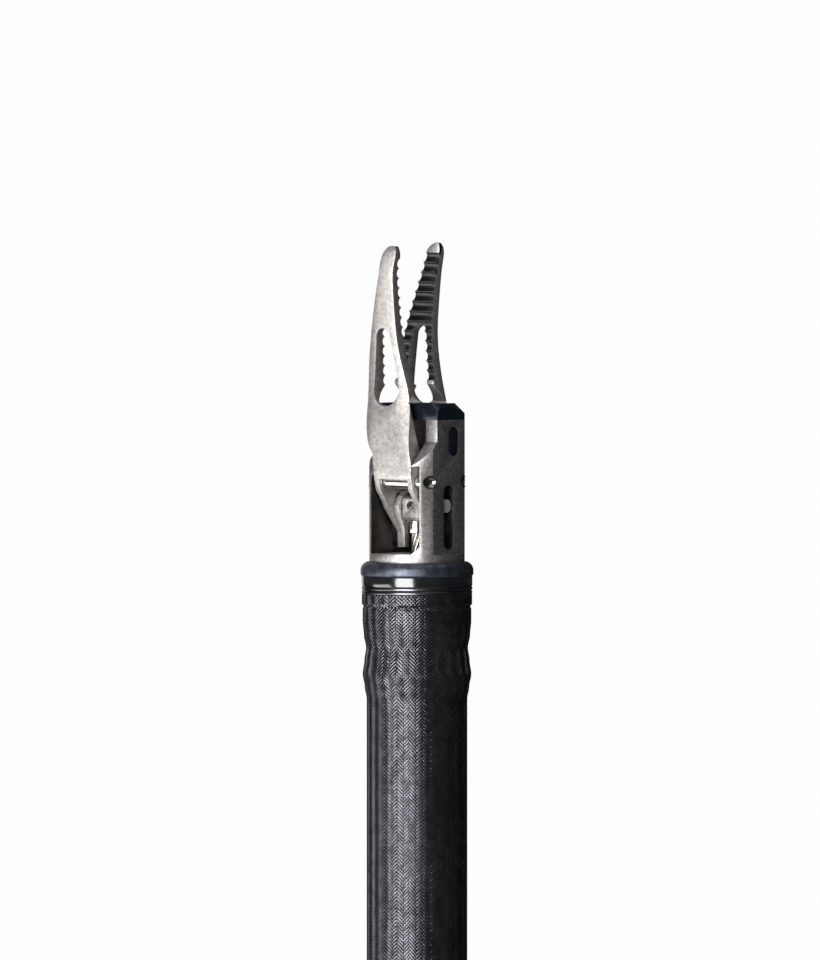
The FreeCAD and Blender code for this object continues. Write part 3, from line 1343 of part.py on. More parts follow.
make_clevis()
make_cap()
make_cap_keys()
make_hinge_pins()
blade, rear_blade = size("blade_length"), size("blade_length") + size("rear_longer")
make_jaw("front_jaw", -1, size("leg_outer_in"), size("leg_outer_out"), 0.0, blade, 0)
make_jaw("rear_jaw", 1, size("leg_inner_in"), size("leg_inner_out"), 0.5, rear_blade, size("rear_slant"))
make_drive_block()
make_wrist()
make_sleeve()
make_shaft()
make_drive_rod()
make_knob()
make_bend_ring()
make_housing()
make_port()
make_lever()
check_and_write()
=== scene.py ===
"""An articulating laparoscopic grasper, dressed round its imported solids: steel jaws and clevis, a blued cap,
a braided black sleeve over the wrist, and a moulded handle. Lengths are in metres."""

import json
import math

import bmesh
import bpy
from mathutils import Matrix, Vector


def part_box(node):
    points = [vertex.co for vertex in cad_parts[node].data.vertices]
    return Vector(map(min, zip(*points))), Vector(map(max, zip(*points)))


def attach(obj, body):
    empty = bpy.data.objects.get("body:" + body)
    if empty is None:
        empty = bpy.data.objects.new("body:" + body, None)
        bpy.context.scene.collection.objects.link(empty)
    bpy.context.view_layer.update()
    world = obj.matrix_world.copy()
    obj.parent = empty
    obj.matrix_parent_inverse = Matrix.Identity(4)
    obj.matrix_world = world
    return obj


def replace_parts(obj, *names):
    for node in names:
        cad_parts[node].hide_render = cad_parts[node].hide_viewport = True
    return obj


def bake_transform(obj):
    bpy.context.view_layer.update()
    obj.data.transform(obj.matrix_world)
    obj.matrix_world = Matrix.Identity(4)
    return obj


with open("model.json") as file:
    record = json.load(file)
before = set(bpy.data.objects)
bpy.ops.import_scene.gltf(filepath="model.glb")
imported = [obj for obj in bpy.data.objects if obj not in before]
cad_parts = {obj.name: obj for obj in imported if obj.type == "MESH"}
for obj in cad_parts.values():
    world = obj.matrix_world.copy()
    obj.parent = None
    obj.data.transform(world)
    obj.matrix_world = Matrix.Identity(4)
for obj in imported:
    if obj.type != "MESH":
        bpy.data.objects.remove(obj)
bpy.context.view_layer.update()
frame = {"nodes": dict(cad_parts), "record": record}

MM = 0.001
HINGES = 325.5 * MM
JOINTS = {4: 292.1 * MM, 3: 299.1 * MM, 2: 306.1 * MM, 1: 313.1 * MM}

body_of = {n: body for body, members in frame["record"]["behaviour"]["bodies"].items() for n in members}
slot_of = {s["node"]: s["material_slot"] for s in frame["record"]["subparts"]}


# Materials


def effect(name, inputs, outputs):
    """An empty shader group with number inputs and the outputs named, and its two end nodes."""
    group = bpy.data.node_groups.new(name, "ShaderNodeTree")
    for label, value in inputs.items():
        socket = group.interface.new_socket(name=label, in_out="INPUT", socket_type="NodeSocketFloat")
        socket.default_value = value
    for label, kind in outputs.items():
        group.interface.new_socket(name=label, in_out="OUTPUT", socket_type=kind)
    return group, group.nodes.new("NodeGroupInput"), group.nodes.new("NodeGroupOutput")


def add(tree, kind, **values):
    """A node with its properties and sockets set. Sockets are named with a leading s_ and _ for a space."""
    node = tree.nodes.new("ShaderNode" + kind)
    for key, value in values.items():
        if key.startswith("s_"):
            node.inputs[key[2:].replace("_", " ")].default_value = value
        else:
            setattr(node, key, value)
    return node


TEXTURE_OUT = {"Mask": "NodeSocketFloat", "Normal": "NodeSocketVector"}


def make_grain():
    """Fine even grain of a blasted or moulded surface."""
    group, given, out = effect("grain", {"Scale": 6000, "Depth": 0.00001}, TEXTURE_OUT)
    place = add(group, "TexCoord")
    noise = add(group, "TexNoise", s_Detail=2.0, s_Roughness=0.6)
    bump = add(group, "Bump", s_Strength=1.0)
    group.links.new(place.outputs["Object"], noise.inputs["Vector"])
    group.links.new(given.outputs["Scale"], noise.inputs["Scale"])
    group.links.new(noise.outputs["Fac"], bump.inputs["Height"])
    group.links.new(given.outputs["Depth"], bump.inputs["Distance"])
    group.links.new(noise.outputs["Fac"], out.inputs["Mask"])
    group.links.new(bump.outputs["Normal"], out.inputs["Normal"])
    return group


def make_clouds():
    """Slow uneven patches, for tints and for handling marks."""
    group, given, out = effect(
        "clouds", {"Scale": 300, "Low": 0.35, "High": 0.65}, {"Mask": "NodeSocketFloat"}
    )
    place = add(group, "TexCoord")
    noise = add(group, "TexNoise", s_Detail=5.0, s_Roughness=0.62)
    spread = add(group, "MapRange", clamp=True)
    group.links.new(place.outputs["Object"], noise.inputs["Vector"])
    group.links.new(given.outputs["Scale"], noise.inputs["Scale"])
    group.links.new(noise.outputs["Fac"], spread.inputs["Value"])
    group.links.new(given.outputs["Low"], spread.inputs["From Min"])
    group.links.new(given.outputs["High"], spread.inputs["From Max"])
    group.links.new(spread.outputs["Result"], out.inputs["Mask"])
    return group


def make_turning():
    """Fine rings left by turning or drawing, stacked along the shaft."""
    group, given, out = effect("turning", {"Scale": 3000, "Depth": 0.000002}, TEXTURE_OUT)
    place = add(group, "TexCoord")
    squeeze = add(group, "Mapping", s_Scale=(0.02, 0.02, 1.0))
    noise = add(group, "TexNoise", s_Detail=3.0, s_Roughness=0.7)
    bump = add(group, "Bump", s_Strength=1.0)
    group.links.new(place.outputs["Object"], squeeze.inputs["Vector"])
    group.links.new(squeeze.outputs["Vector"], noise.inputs["Vector"])
    group.links.new(given.outputs["Scale"], noise.inputs["Scale"])
    group.links.new(noise.outputs["Fac"], bump.inputs["Height"])
    group.links.new(given.outputs["Depth"], bump.inputs["Distance"])
    group.links.new(noise.outputs["Fac"], out.inputs["Mask"])
    group.links.new(bump.outputs["Normal"], out.inputs["Normal"])
    return group


GRAIN, CLOUDS, TURNING = make_grain(), make_clouds(), make_turning()


def placed(tree, group, **values):
    """A shader group put into a material, with its inputs set."""
    node = tree.nodes.new("ShaderNodeGroup")
    node.node_tree = group
    for key, value in values.items():
        node.inputs[key].default_value = value
    return node


def blend_colour(tree, mask, first, second):
    """The first colour where the mask is 0 and the second where it is 1."""
    mix = add(tree, "Mix", data_type="RGBA")
    tree.links.new(mask, mix.inputs["Factor"])
    mix.inputs["A"].default_value = (*first, 1)
    mix.inputs["B"].default_value = (*second, 1)
    return mix.outputs["Result"]


def blend_value(tree, mask, first, second):
    """The first value where the mask is 0 and the second where it is 1."""
    spread = add(tree, "MapRange", clamp=True, s_To_Min=first, s_To_Max=second)
    tree.links.new(mask, spread.inputs["Value"])
    return spread.outputs["Result"]


def finish_of(name, light, dark, rough, patches, texture, **sockets):
    """A surface that drifts between two tints and two roughnesses, with a fine texture over it."""
    material = bpy.data.materials.new(name)
    material.use_nodes = True
    tree = material.node_tree
    surface = tree.nodes["Principled BSDF"]
    for key, value in sockets.items():
        surface.inputs[key.replace("_", " ")].default_value = value
    clouds = placed(tree, CLOUDS, Scale=patches).outputs["Mask"]
    tree.links.new(blend_colour(tree, clouds, light, dark), surface.inputs["Base Color"])
    group, scale, depth = texture
    detail = placed(tree, group, Scale=scale, Depth=depth)
    tree.links.new(detail.outputs["Normal"], surface.inputs["Normal"])
    tree.links.new(blend_value(tree, detail.outputs["Mask"], *rough), surface.inputs["Roughness"])
    return material


SURFACES = {
    "jaw_steel": dict(
        light=(0.61, 0.58, 0.557), dark=(0.4, 0.379, 0.364), rough=(0.54, 0.66),
        patches=3600, texture=(GRAIN, 15000, 0.000008), Metallic=1.0,
    ),
    "clevis_steel": dict(
        light=(0.6, 0.575, 0.555), dark=(0.34, 0.326, 0.315), rough=(0.42, 0.54),
        patches=4000, texture=(GRAIN, 13000, 0.00001), Metallic=1.0,
    ),
    "blued_cap": dict(
        light=(0.02, 0.028, 0.045), dark=(0.01, 0.014, 0.022), rough=(0.18, 0.3),
        patches=900, texture=(GRAIN, 5000, 0.000006), Metallic=0.6, Coat_Weight=0.4, Coat_Roughness=0.15,
    ),
    "collar_finish": dict(
        light=(0.13, 0.145, 0.175), dark=(0.045, 0.052, 0.068), rough=(0.3, 0.5),
        patches=1600, texture=(GRAIN, 4000, 0.00002), Metallic=0.8,
    ),
    "black_ring": dict(
        light=(0.012, 0.012, 0.014), dark=(0.006, 0.006, 0.008), rough=(0.1, 0.2),
        patches=600, texture=(TURNING, 5000, 0.000004), Coat_Weight=1.0, Coat_Roughness=0.14, Coat_IOR=1.7,
    ),
    # Nearly black steel: painted shade on the clevis's inner walls and slots, and in the hinge pins' end
    # grooves
    "painted_shade_steel": dict(
        light=(0.06, 0.055, 0.05), dark=(0.025, 0.023, 0.021), rough=(0.34, 0.5),
        patches=900, texture=(GRAIN, 6000, 0.00003), Metallic=0.9,
    ),
    "binding_steel": dict(
        light=(0.2, 0.2, 0.215), dark=(0.11, 0.11, 0.12), rough=(0.2, 0.34),
        patches=900, texture=(TURNING, 5000, 0.000003), Metallic=1.0,
    ),
    "pin_steel": dict(
        light=(0.75, 0.73, 0.7), dark=(0.62, 0.6, 0.57), rough=(0.14, 0.28),
        patches=900, texture=(TURNING, 5000, 0.000003), Metallic=1.0,
    ),
    "braid": dict(
        light=(0.13, 0.13, 0.145), dark=(0.06, 0.06, 0.068), rough=(0.15, 0.25),
        patches=1500, texture=(GRAIN, 9000, 0.000006), Metallic=0.88,
    ),
    # A nearly black matte liner: painted shade in the gaps between the braid's strands
    "lining_painted_shade": dict(
        light=(0.006, 0.006, 0.006), dark=(0.003, 0.003, 0.003), rough=(0.8, 0.95),
        patches=1500, texture=(GRAIN, 9000, 0.000006), Specular_IOR_Level=0.2,
    ),
    "brushed_end": dict(
        light=(0.97, 0.96, 0.95), dark=(0.88, 0.87, 0.86), rough=(0.6, 0.7),
        patches=900, texture=(GRAIN, 8000, 0.00001), Metallic=1.0,
    ),
    "cable": dict(
        light=(0.55, 0.53, 0.5), dark=(0.4, 0.38, 0.36), rough=(0.22, 0.36),
        patches=900, texture=(GRAIN, 8000, 0.000006), Metallic=1.0,
    ),
    "inner_steel": dict(
        light=(0.55, 0.54, 0.52), dark=(0.42, 0.41, 0.4), rough=(0.24, 0.38),
        patches=500, texture=(TURNING, 3000, 0.000006), Metallic=1.0,
    ),
    "shaft_steel": dict(
        light=(0.36, 0.36, 0.365), dark=(0.31, 0.31, 0.316), rough=(0.36, 0.48),
        patches=120, texture=(TURNING, 1600, 0.000004), Metallic=1.0,
    ),
    "seal_rubber": dict(
        light=(0.03, 0.03, 0.03), dark=(0.02, 0.02, 0.02), rough=(0.6, 0.75),
        patches=400, texture=(GRAIN, 3000, 0.00001),
    ),
    "dark_plastic": dict(
        light=(0.03, 0.031, 0.034), dark=(0.02, 0.021, 0.023), rough=(0.42, 0.58),
        patches=90, texture=(GRAIN, 1800, 0.00005),
    ),
    "grey_plastic": dict(
        light=(0.19, 0.2, 0.215), dark=(0.15, 0.158, 0.17), rough=(0.4, 0.55),
        patches=110, texture=(GRAIN, 1800, 0.00004),
    ),
}
FINISHES = {name: finish_of(name, **look) for name, look in SURFACES.items()}


# How deep under a crest, in millimetres, the painted highlight on the crests ends and the painted shade of the
# valleys begins
PAINTED_HIGHLIGHT_TO, PAINTED_SHADE_FROM = 0.015, 0.07


def teeth_painted_light_finish():
    """Crests painted bright as a highlight, over valleys painted dark as shade."""
    material = bpy.data.materials.new("teeth_painted_light_steel")
    material.use_nodes = True
    tree = material.node_tree
    surface = tree.nodes["Principled BSDF"]
    surface.inputs["Metallic"].default_value = 1.0
    depth = add(tree, "Attribute", attribute_name="under_crest")
    painted_shade_share = add(tree, "MapRange", clamp=True, s_From_Min=PAINTED_HIGHLIGHT_TO, s_From_Max=PAINTED_SHADE_FROM)
    tree.links.new(depth.outputs["Fac"], painted_shade_share.inputs["Value"])
    # Painted highlight on the crests and painted shade in the valleys, set by depth under the crest
    colour = blend_colour(tree, painted_shade_share.outputs["Result"], (0.95, 0.9, 0.86), (0.08, 0.076, 0.072))
    tree.links.new(colour, surface.inputs["Base Color"])
    detail = placed(tree, GRAIN, Scale=7000, Depth=0.00002)
    tree.links.new(detail.outputs["Normal"], surface.inputs["Normal"])
    tree.links.new(blend_value(tree, detail.outputs["Mask"], 0.38, 0.48), surface.inputs["Roughness"])
    return material


FINISHES["teeth_painted_light_steel"] = teeth_painted_light_finish()


# Pieces


def keep(name, bm, slot, body=None, finishes=None):
    """The finished mesh as a piece with its finishes, riding on a body where one is named."""
    mesh = bpy.data.meshes.new(name)
    bm.to_mesh(mesh)
    bm.free()
    piece = bpy.data.objects.new(name, mesh)
    bpy.context.scene.collection.objects.link(piece)
    for finish in finishes or [slot]:
        mesh.materials.append(FINISHES[finish])
    if body:
        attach(piece, body)
    return piece


def shade(bm, angle=30):
    """Smooth faces, with the edges over the angle left crisp."""
    for face in bm.faces:
        face.smooth = True
    for edge in bm.edges:
        edge.smooth = len(edge.link_faces) == 2 and edge.calc_face_angle() < math.radians(angle)


def round_off(bm, width, angle=26):
    """A small round on every edge that is sharper than the angle."""
    sharp = [e for e in bm.edges if len(e.link_faces) == 2 and e.calc_face_angle() > math.radians(angle)]
    bmesh.ops.bevel(
        bm, geom=sharp, offset=width, offset_type="OFFSET", segments=2, profile=0.5, affect="EDGES",
        clamp_overlap=True, material=-1,
    )
    shade(bm)


WELD = 0.002 * MM
COPLANAR = math.radians(0.6)


def broken_edges(node, width, finishes, marked=None):
    """A CAD piece's shape with its sharp edges rounded a little. marked may give faces a second finish."""
    bm = bmesh.new()
    bm.from_mesh(frame["nodes"][node].data)
    bmesh.ops.remove_doubles(bm, verts=bm.verts, dist=WELD)
    bmesh.ops.dissolve_limit(bm, angle_limit=COPLANAR, verts=bm.verts, edges=bm.edges)
    round_off(bm, width)
    if marked:
        marked(bm)
    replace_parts(keep(node + "_finished", bm, slot_of[node], body_of[node], finishes), node)


# How far each jaw stands open at rest, where its hinge and its teeth are, and how tall the teeth are
JAW_OPEN = math.radians(7.5)
HINGE_OUT = 1.93 * MM
TEETH_FROM = 6.5 * MM
CREST = 0.03 * MM
TOOTH_DEPTH = 0.33 * MM


def toothed(sign):
    """Marks a jaw's toothed faces and stores how deep each point lies under the crests, in millimetres."""

    def mark(bm):
        pivot = Vector((0, sign * HINGE_OUT, HINGES))
        closed = Matrix.Rotation(JAW_OPEN * sign, 3, "X")
        under = bm.verts.layers.float.new("under_crest")
        height = {}
        for vert in bm.verts:
            at = closed @ (vert.co - pivot) + pivot
            vert[under] = (sign * at.y - CREST) / MM
            height[vert] = at.z - HINGES
        for face in bm.faces:
            ahead = all(height[v] > TEETH_FROM for v in face.verts)
            inside = all(v[under] < TOOTH_DEPTH / MM for v in face.verts) or sign * face.normal.y < -0.5
            # Faces given index 1 take the teeth's painted highlight and painted shade
            face.material_index = 1 if ahead and inside else 0

    return mark


# How far out the clevis's inner walls lie, its slots' extent, and the bright rim left on the slots
WALL_REACH = 3.3 * MM
SLOT_HALF_WIDTH = 0.57 * MM
SLOT_LOW, SLOT_HIGH = HINGES - 5.2 * MM, HINGES - 0.3 * MM
SLOT_RIM = 0.25 * MM


def painted_shade_inside(bm):
    """Marks the clevis's inner walls and the walls of its slots for nearly black steel, painted shade standing
    in for the shade inside them. A narrow rim of each slot stays bright."""
    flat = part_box("clevis")[1].x - SLOT_RIM
    for side in (-1, 1):
        geom = list(bm.verts) + list(bm.edges) + list(bm.faces)
        bmesh.ops.bisect_plane(bm, geom=geom, dist=1e-7, plane_co=(side * flat, 0, 0), plane_no=(1, 0, 0))
    shade(bm)
    for face in bm.faces:
        centre = face.calc_center_median()
        outwards = face.normal.x * centre.x + face.normal.y * centre.y
        reach = math.hypot(centre.x, centre.y)
        wall = outwards < -0.3 * reach and reach < WALL_REACH
        within = abs(centre.x) < flat and abs(centre.y) < SLOT_HALF_WIDTH and SLOT_LOW < centre.z < SLOT_HIGH
        # Index 1 is the painted shade finish
        face.material_index = 1 if wall or (within and abs(face.normal.x) < 0.3) else 0


PIN_END_FROM = 2.5 * MM
GROOVE_WIDTH, GROOVE_DEPTH = 0.13 * MM, 0.015 * MM


def ringed_end(bm):
    """Sinks a groove round each end of a hinge pin and colours it nearly black, painted shade in the groove.
    """
    ends = [f for f in bm.faces if abs(f.calc_center_median().x) > PIN_END_FROM and abs(f.normal.x) > 0.5]
    groove = bmesh.ops.inset_region(
        bm, faces=ends, thickness=GROOVE_WIDTH, depth=-GROOVE_DEPTH, use_even_offset=True
    )
    # The groove faces take the painted shade finish
    for face in groove["faces"]:
        face.material_index = 1


def swept(bm, around, along, place):
    """A closed tube whose points come from place(turn, way), both running from 0 to 1."""
    made = bmesh.ops.create_grid(bm, x_segments=around, y_segments=along, size=0.5)
    for vert in made["verts"]:
        turn, way = vert.co.x + 0.5, vert.co.y + 0.5
        vert.co = place(turn % 1 if turn < 0.999 else 0.0, way)
    bmesh.ops.remove_doubles(bm, verts=made["verts"], dist=1e-7)


def close_ends(bm):
    """Caps the open ends and turns all faces outwards."""
    bmesh.ops.holes_fill(bm, edges=[e for e in bm.edges if e.is_boundary], sides=0)
    bmesh.ops.recalc_face_normals(bm, faces=bm.faces)


# Heights on the shaft and the sleeve's outer radius there, in millimetres
SLEEVE = [
    (280.1, 3.75), (309.3, 3.75), (310.2, 3.9), (311.15, 4.05), (312.15, 3.925), (313.1, 3.8),
    (314.1, 3.965), (315.1, 4.05), (316.0, 4.05), (316.2, 3.97), (316.35, 4.11), (317.1, 4.11),
]


def sleeve_radius(z):
    """Outside of the sleeve at a height, eased between its marks."""
    z /= MM
    for (low, first), (high, second) in zip(SLEEVE, SLEEVE[1:]):
        if z <= high:
            share = max(0.0, (z - low) / (high - low))
            return (first + (second - first) * share * share * (3 - 2 * share)) * MM
    return SLEEVE[-1][1] * MM


BANDS = 44
BAND_ANGLE = 2 * math.pi / BANDS
STRAND_HALF_WIDTH = 0.066 * MM
STRAND_HALF_THICK = 0.05 * MM
WEAVE = 0.032 * MM
WEAVE_PHASE, WEAVE_SQUARENESS = 0.375, 1.5
BRAID_RADIUS = 3.75 * MM
STRAND_SIDES, STRAND_STEP = 5, 0.107 * MM
LINER_BORE, LINER_SIDES, LINER_STEP = 3.2 * MM, 64, 0.4 * MM


def weave_height(turn):
    """How far a strand of the first direction stands proud where it is at that angle round the sleeve."""
    wave = math.cos(math.pi * (turn / BAND_ANGLE - WEAVE_PHASE))
    return WEAVE * max(-1.0, min(1.0, WEAVE_SQUARENESS * wave))


def strand(bm, start_turn, slant, low, high):
    """One strand of the braid, an oval wire that climbs round the sleeve and weaves in and out."""
    steps = max(4, round((high - low) / STRAND_STEP))
    lean = math.sqrt(0.5)

    def place(turn, way):
        z = low + (high - low) * way
        around = 2 * math.pi * turn
        aside = STRAND_HALF_WIDTH / lean * math.cos(around) / BRAID_RADIUS
        angle = start_turn + slant * (z - JOINTS[4]) / BRAID_RADIUS
        radius = sleeve_radius(z) - WEAVE - STRAND_HALF_THICK
        radius += STRAND_HALF_THICK * math.sin(around) + weave_height(angle + aside / 2) * slant
        return Vector((radius * math.cos(angle + aside), radius * math.sin(angle + aside), z))

    swept(bm, STRAND_SIDES, steps, place)


def braid(name, low, high):
    """A stretch of the braided sleeve: both directions of strands over a closed liner. Each band has two
    strands side by side. Two neighbouring bands are made and copied round the sleeve."""
    bm = bmesh.new()
    for slant in (1, -1):
        for end in (-0.25, 0.25):
            for step in range(2):
                strand(bm, (step + end) * BAND_ANGLE, slant, low, high)
    geom = list(bm.verts) + list(bm.edges) + list(bm.faces)
    bmesh.ops.spin(
        bm, geom=geom, cent=(0, 0, 0), axis=(0, 0, 1), dvec=(0, 0, 0), angle=2 * math.pi * (1 - 2 / BANDS),
        steps=BANDS // 2 - 1, use_merge=False, use_normal_flip=False, use_duplicate=True,
    )

    def liner(inner):
        def place(turn, way):
            z = low + (high - low) * way
            radius = LINER_BORE if inner else sleeve_radius(z) - 2 * WEAVE - 2 * STRAND_HALF_THICK
            angle = 2 * math.pi * turn
            return Vector((radius * math.cos(angle), radius * math.sin(angle), z))

        return place

    shade(bm, 75)
    close_ends(bm)
    strands = len(bm.faces)
    wall = bmesh.new()
    rows = max(4, round((high - low) / LINER_STEP))
    for inner in (False, True):
        swept(wall, LINER_SIDES, rows, liner(inner))
    rims = [e for e in wall.edges if e.is_boundary]
    for level in (low, high):
        ring = [e for e in rims if all(abs(v.co.z - level) < 1e-6 for v in e.verts)]
        bmesh.ops.bridge_loops(wall, edges=ring)
    bmesh.ops.recalc_face_normals(wall, faces=wall.faces)
    shade(wall)
    spare = bpy.data.meshes.new(name + "_liner")
    wall.to_mesh(spare)
    wall.free()
    bm.from_mesh(spare)
    bm.faces.ensure_lookup_table()
    bpy.data.meshes.remove(spare)
    # The liner takes the painted shade finish
    for face in bm.faces[strands:]:
        face.material_index = 1
    return keep(name, bm, "braid", finishes=["braid", "lining_painted_shade"])


def bend(piece):
    """Bakes a piece's placement into its mesh."""
    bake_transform(piece)


SLEEVE_FOOT, SLEEVE_TOP = 280.1 * MM, 317.1 * MM
# The stretch of the sleeve and the wires that crosses each wrist joint, in millimetres
SPLITS = {4: (288.2, 295.6), 3: (295.6, 302.6), 2: (302.6, 309.6), 1: (309.6, 317.1)}
lowest = braid("sleeve_foot", SLEEVE_FOOT, SPLITS[4][0] * MM)
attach(lowest, "shaft")
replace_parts(lowest, "braided_sleeve")
for joint, (low, high) in SPLITS.items():
    part = braid(f"sleeve_{joint}", low * MM, high * MM)
    bend(part)
    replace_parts(part, "braided_sleeve")


WIRE_SIDES, WIRE_STEP, LONG_WIRE = 16, 0.5 * MM, 20 * MM


def wire(name, x, radius, low, high):
    """A plain round wire along the shaft, with enough rings to bend."""
    bm = bmesh.new()

    def place(turn, way):
        angle = 2 * math.pi * turn
        return Vector((x + radius * math.cos(angle), radius * math.sin(angle), low + (high - low) * way))

    steps = max(1, round((high - low) / WIRE_STEP)) if high - low < LONG_WIRE else 4
    swept(bm, WIRE_SIDES, steps, place)
    close_ends(bm)
    shade(bm, 40)
    return keep(name, bm, "cable")


def split_wire(node, x, radius, foot, foot_body, top):
    """A wire through the wrist: one piece in the shaft and one across each wrist joint."""
    straight = wire(node + "_shaft", x, radius, foot, SPLITS[4][0] * MM)
    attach(straight, foot_body)
    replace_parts(straight, node)
    for joint, (low, high) in SPLITS.items():
        piece = wire(f"{node}_{joint}", x, radius, low * MM, min(high * MM, top))
        bend(piece)
        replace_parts(piece, node)


TENDON_OUT, TENDON_RADIUS, CABLE_RADIUS = 2.2 * MM, 0.25 * MM, 0.42 * MM
for side, x in (("left", -TENDON_OUT), ("right", TENDON_OUT)):
    low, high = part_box(f"tendon_{side}")
    split_wire(f"tendon_{side}", x, TENDON_RADIUS, low.z, "shaft", high.z)
cable_low, cable_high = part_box("drive_cable")
split_wire("drive_cable", 0, CABLE_RADIUS, cable_low.z, "drive_rod", SLEEVE_TOP)


CABLE_WIRES, LAY_LENGTH = 6, 5.2 * MM
LAID_RADIUS, LAID_OUT, LAID_OVAL = 0.15 * MM, 0.3 * MM, 1.15


def stranded_cable(name, low, high):
    """The visible end of the drive cable: six wires laid round each other."""
    bm = bmesh.new()

    def helix(start):
        def place(turn, way):
            z = low + (high - low) * way
            angle = start + 2 * math.pi * (z - low) / LAY_LENGTH
            around = 2 * math.pi * turn
            out = LAID_OUT + LAID_RADIUS * math.cos(around)
            side = LAID_RADIUS * math.sin(around) * LAID_OVAL
            return Matrix.Rotation(angle, 3, "Z") @ Vector((out, side, z))

        return place

    for number in range(CABLE_WIRES):
        swept(bm, 8, 24, helix(2 * math.pi * number / CABLE_WIRES))
    close_ends(bm)
    shade(bm, 50)
    return keep(name, bm, "cable")


upper = stranded_cable("drive_cable_end", SLEEVE_TOP, cable_high.z)
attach(upper, "drive_block")
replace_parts(upper, "drive_cable")


RING_BORE, RING_SHOULDER, RING_GAP, RING_ROUND = 3.75 * MM, 0.06 * MM, 0.01 * MM, 0.025 * MM


def binding_rings():
    """The two thin bright rings, turned to the solids' profile and a hair apart."""
    bm = bmesh.new()
    low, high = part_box("binding_rings")
    tall = (high.z - low.z) / 2
    outside, shoulder = high.x, high.x - RING_SHOULDER
    profile = [
        (RING_BORE, 0), (shoulder, 0), (outside, 0.3), (outside, 0.7), (shoulder, 1), (RING_BORE, 1),
    ]
    for foot in (low.z, low.z + tall):
        corners = [bm.verts.new((radius, 0, foot + (tall - RING_GAP) * share)) for radius, share in profile]
        edges = [bm.edges.new(pair) for pair in zip(corners, corners[1:] + corners[:1])]
        bmesh.ops.spin(
            bm, geom=corners + edges, cent=(0, 0, 0), axis=(0, 0, 1), dvec=(0, 0, 0), angle=2 * math.pi,
            steps=128, use_merge=True, use_normal_flip=False, use_duplicate=False,
        )
    bmesh.ops.recalc_face_normals(bm, faces=bm.faces)
    round_off(bm, RING_ROUND)
    piece = keep("binding_rings_finished", bm, slot_of["binding_rings"], finishes=["binding_steel"])
    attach(piece, body_of["binding_rings"])
    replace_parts(piece, "binding_rings")


binding_rings()

# CAD pieces that get small rounds on their edges, with the rounds' widths in millimetres
ROUNDED = {
    "front_jaw": 0.05, "rear_jaw": 0.035, "clevis": 0.14, "clevis_cap": 0.05, "cap_keys": 0.05,
    "drive_block": 0.05, "drive_pin": 0.08, "block_stud": 0.05, "cable_ferrule": 0.1, "collar": 0.08,
    "retaining_ring": 0.06, "front_hinge_pin": 0.04, "rear_hinge_pin": 0.04, "rotation_knob": 0.4,
    "bend_ring": 0.3, "flush_port": 0.15, "housing_screws": 0.15, "sleeve_ring": 0.12,
}
MARKS = {
    "front_jaw": toothed(-1), "rear_jaw": toothed(1), "clevis": painted_shade_inside,
    "front_hinge_pin": ringed_end, "rear_hinge_pin": ringed_end,
}
OWN_FINISHES = {
    "front_jaw": ["jaw_steel", "teeth_painted_light_steel"],
    "rear_jaw": ["jaw_steel", "teeth_painted_light_steel"],
    "clevis": ["clevis_steel", "painted_shade_steel"],
    "front_hinge_pin": ["pin_steel", "painted_shade_steel"],
    "rear_hinge_pin": ["pin_steel", "painted_shade_steel"],
    "block_stud": ["binding_steel"],
    "cap_keys": ["blued_cap"],
    "drive_pin": ["brushed_end"],
}
for node, width in ROUNDED.items():
    broken_edges(node, width * MM, OWN_FINISHES.get(node, [slot_of[node]]), MARKS.get(node))
# The CAD pieces that stay as they are get the finish of their slot
for node, shown in frame["nodes"].items():
    for socket in shown.material_slots:
        socket.material = FINISHES[slot_of[node]]


# Studio


def lit(name, width, height, azimuth, distance, lift, power, level=HINGES, spread=180):
    """A soft box aimed at a level of the shaft, at an azimuth: 0 is the -Y side and 90 the +X side."""
    light = bpy.data.lights.new(name, "AREA")
    light.shape = "RECTANGLE"
    light.size, light.size_y = width, height
    light.energy = power
    light.spread = math.radians(spread)
    holder = bpy.data.objects.new(name, light)
    a = math.radians(azimuth)
    holder.location = (distance * math.sin(a), -distance * math.cos(a), level + lift)
    aim = Vector((0, 0, level)) - holder.location
    holder.rotation_euler = aim.to_track_quat("-Z", "Y").to_euler()
    bpy.context.scene.collection.objects.link(holder)


HANDLE = -40 * MM
lit("key_box", 0.6, 0.9, 13, 0.9, -0.05, 15)
lit("low_box", 0.5, 0.3, -42, 0.55, -0.27, 1.6)
lit("rim_box", 0.5, 1.2, -122, 1.2, 0.05, 1.2)
lit("top_box", 2.0, 2.0, 0, 0.01, 1.8, 9)
lit("handle_back_box", 0.4, 0.2, 165, 1.0, 0.0, 0.22, level=HANDLE, spread=24)
lit("handle_left_box", 0.4, 0.2, -105, 1.0, 0.0, 0.16, level=HANDLE, spread=24)
lit("handle_right_box", 0.4, 0.2, 100, 1.0, 0.0, 0.16, level=HANDLE, spread=24)

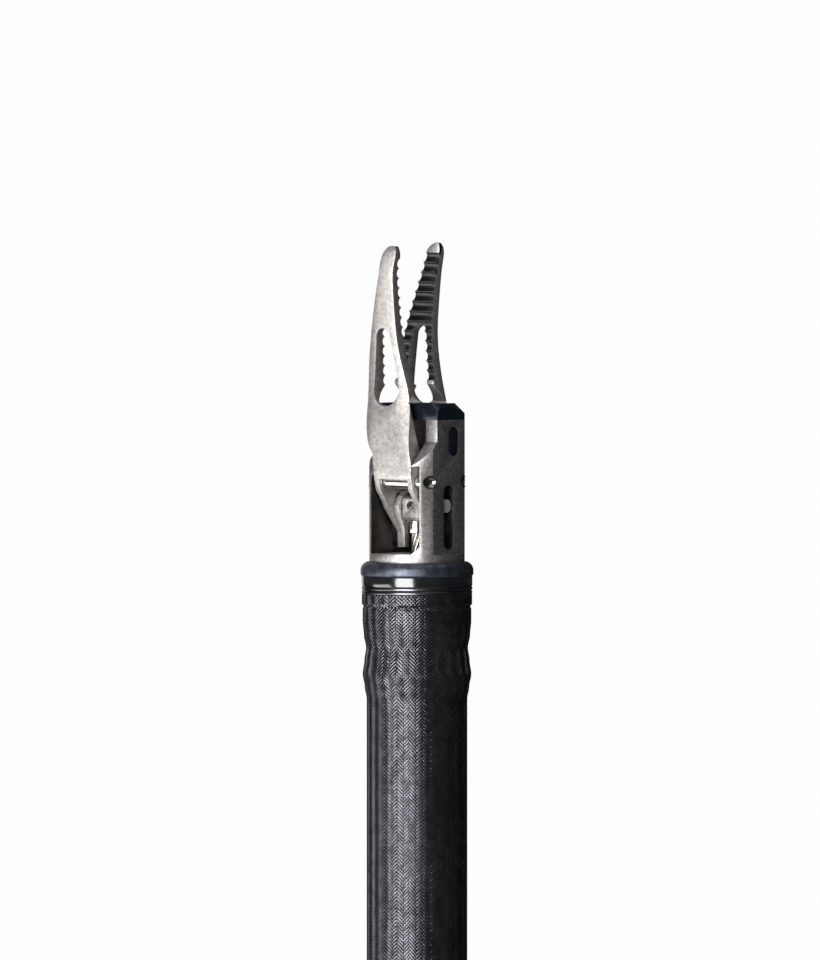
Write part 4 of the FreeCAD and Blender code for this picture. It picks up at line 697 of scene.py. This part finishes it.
# The floor lies low enough for the thumb ring when the lever is fully open
FLOOR_LEVEL, FLOOR_RADIUS = -152 * MM, 4.0
bm = bmesh.new()
bmesh.ops.create_circle(bm, cap_ends=True, segments=96, radius=FLOOR_RADIUS)
bmesh.ops.translate(bm, verts=bm.verts, vec=(0, 0, FLOOR_LEVEL))
mesh = bpy.data.meshes.new("floor")
bm.to_mesh(mesh)
bm.free()
floor = bpy.data.objects.new("floor", mesh)
bpy.context.scene.collection.objects.link(floor)
pale = bpy.data.materials.new("pale_floor")
pale.use_nodes = True
surface = pale.node_tree.nodes["Principled BSDF"]
surface.inputs["Base Color"].default_value = (0.14, 0.14, 0.14, 1)
surface.inputs["Roughness"].default_value = 0.8
surface.inputs["Emission Color"].default_value = (0.86, 0.86, 0.865, 1)
glow = add(pale.node_tree, "LightPath")
pale.node_tree.links.new(glow.outputs["Is Camera Ray"], surface.inputs["Emission Strength"])
mesh.materials.append(pale)

world = bpy.data.worlds.new("studio")
bpy.context.scene.world = world
world.use_nodes = True
tree = world.node_tree
backdrop = tree.nodes["Background"]
seen = add(tree, "LightPath")
ambient = add(tree, "Background", s_Color=(0.03, 0.031, 0.034, 1), s_Strength=1.0)
backdrop.inputs["Color"].default_value = (0.985, 0.985, 0.99, 1)
either = add(tree, "MixShader")
tree.links.new(seen.outputs["Is Camera Ray"], either.inputs["Fac"])
tree.links.new(ambient.outputs["Background"], either.inputs[1])
tree.links.new(backdrop.outputs["Background"], either.inputs[2])
tree.links.new(either.outputs["Shader"], tree.nodes["World Output"].inputs["Surface"])

# Camera: the photograph shows the head at 13.45 pixels per millimetre, and the jaws' hinges at HINGES_SEEN
PICTURE_WIDTH, PICTURE_HEIGHT = 820, 960
HINGES_SEEN = (417, 481)
PIXELS = 13.45 / MM
CAMERA_AZIMUTH, CAMERA_HEIGHT, DISTANCE = math.radians(40), math.radians(2), 1.6
camera = bpy.data.cameras.new("camera")
camera.sensor_width = 36
camera.lens = camera.sensor_width * DISTANCE / (PICTURE_HEIGHT / PIXELS)
holder = bpy.data.objects.new("camera", camera)
back = Vector((
    math.sin(CAMERA_AZIMUTH) * math.cos(CAMERA_HEIGHT),
    -math.cos(CAMERA_AZIMUTH) * math.cos(CAMERA_HEIGHT),
    math.sin(CAMERA_HEIGHT),
))
right = Vector((math.cos(CAMERA_AZIMUTH), math.sin(CAMERA_AZIMUTH), 0))
up = back.cross(right)
aside, below = HINGES_SEEN[0] - PICTURE_WIDTH / 2, HINGES_SEEN[1] - PICTURE_HEIGHT / 2
centre = Vector((0, 0, HINGES)) - right * aside / PIXELS + up * below / PIXELS
holder.location = centre + back * DISTANCE
holder.rotation_euler = Matrix((right, up, back)).transposed().to_euler()
camera.clip_start, camera.clip_end = 0.05, 50
bpy.context.scene.collection.objects.link(holder)
bpy.context.scene.camera = holder
bpy.context.scene.view_settings.view_transform = "Standard"
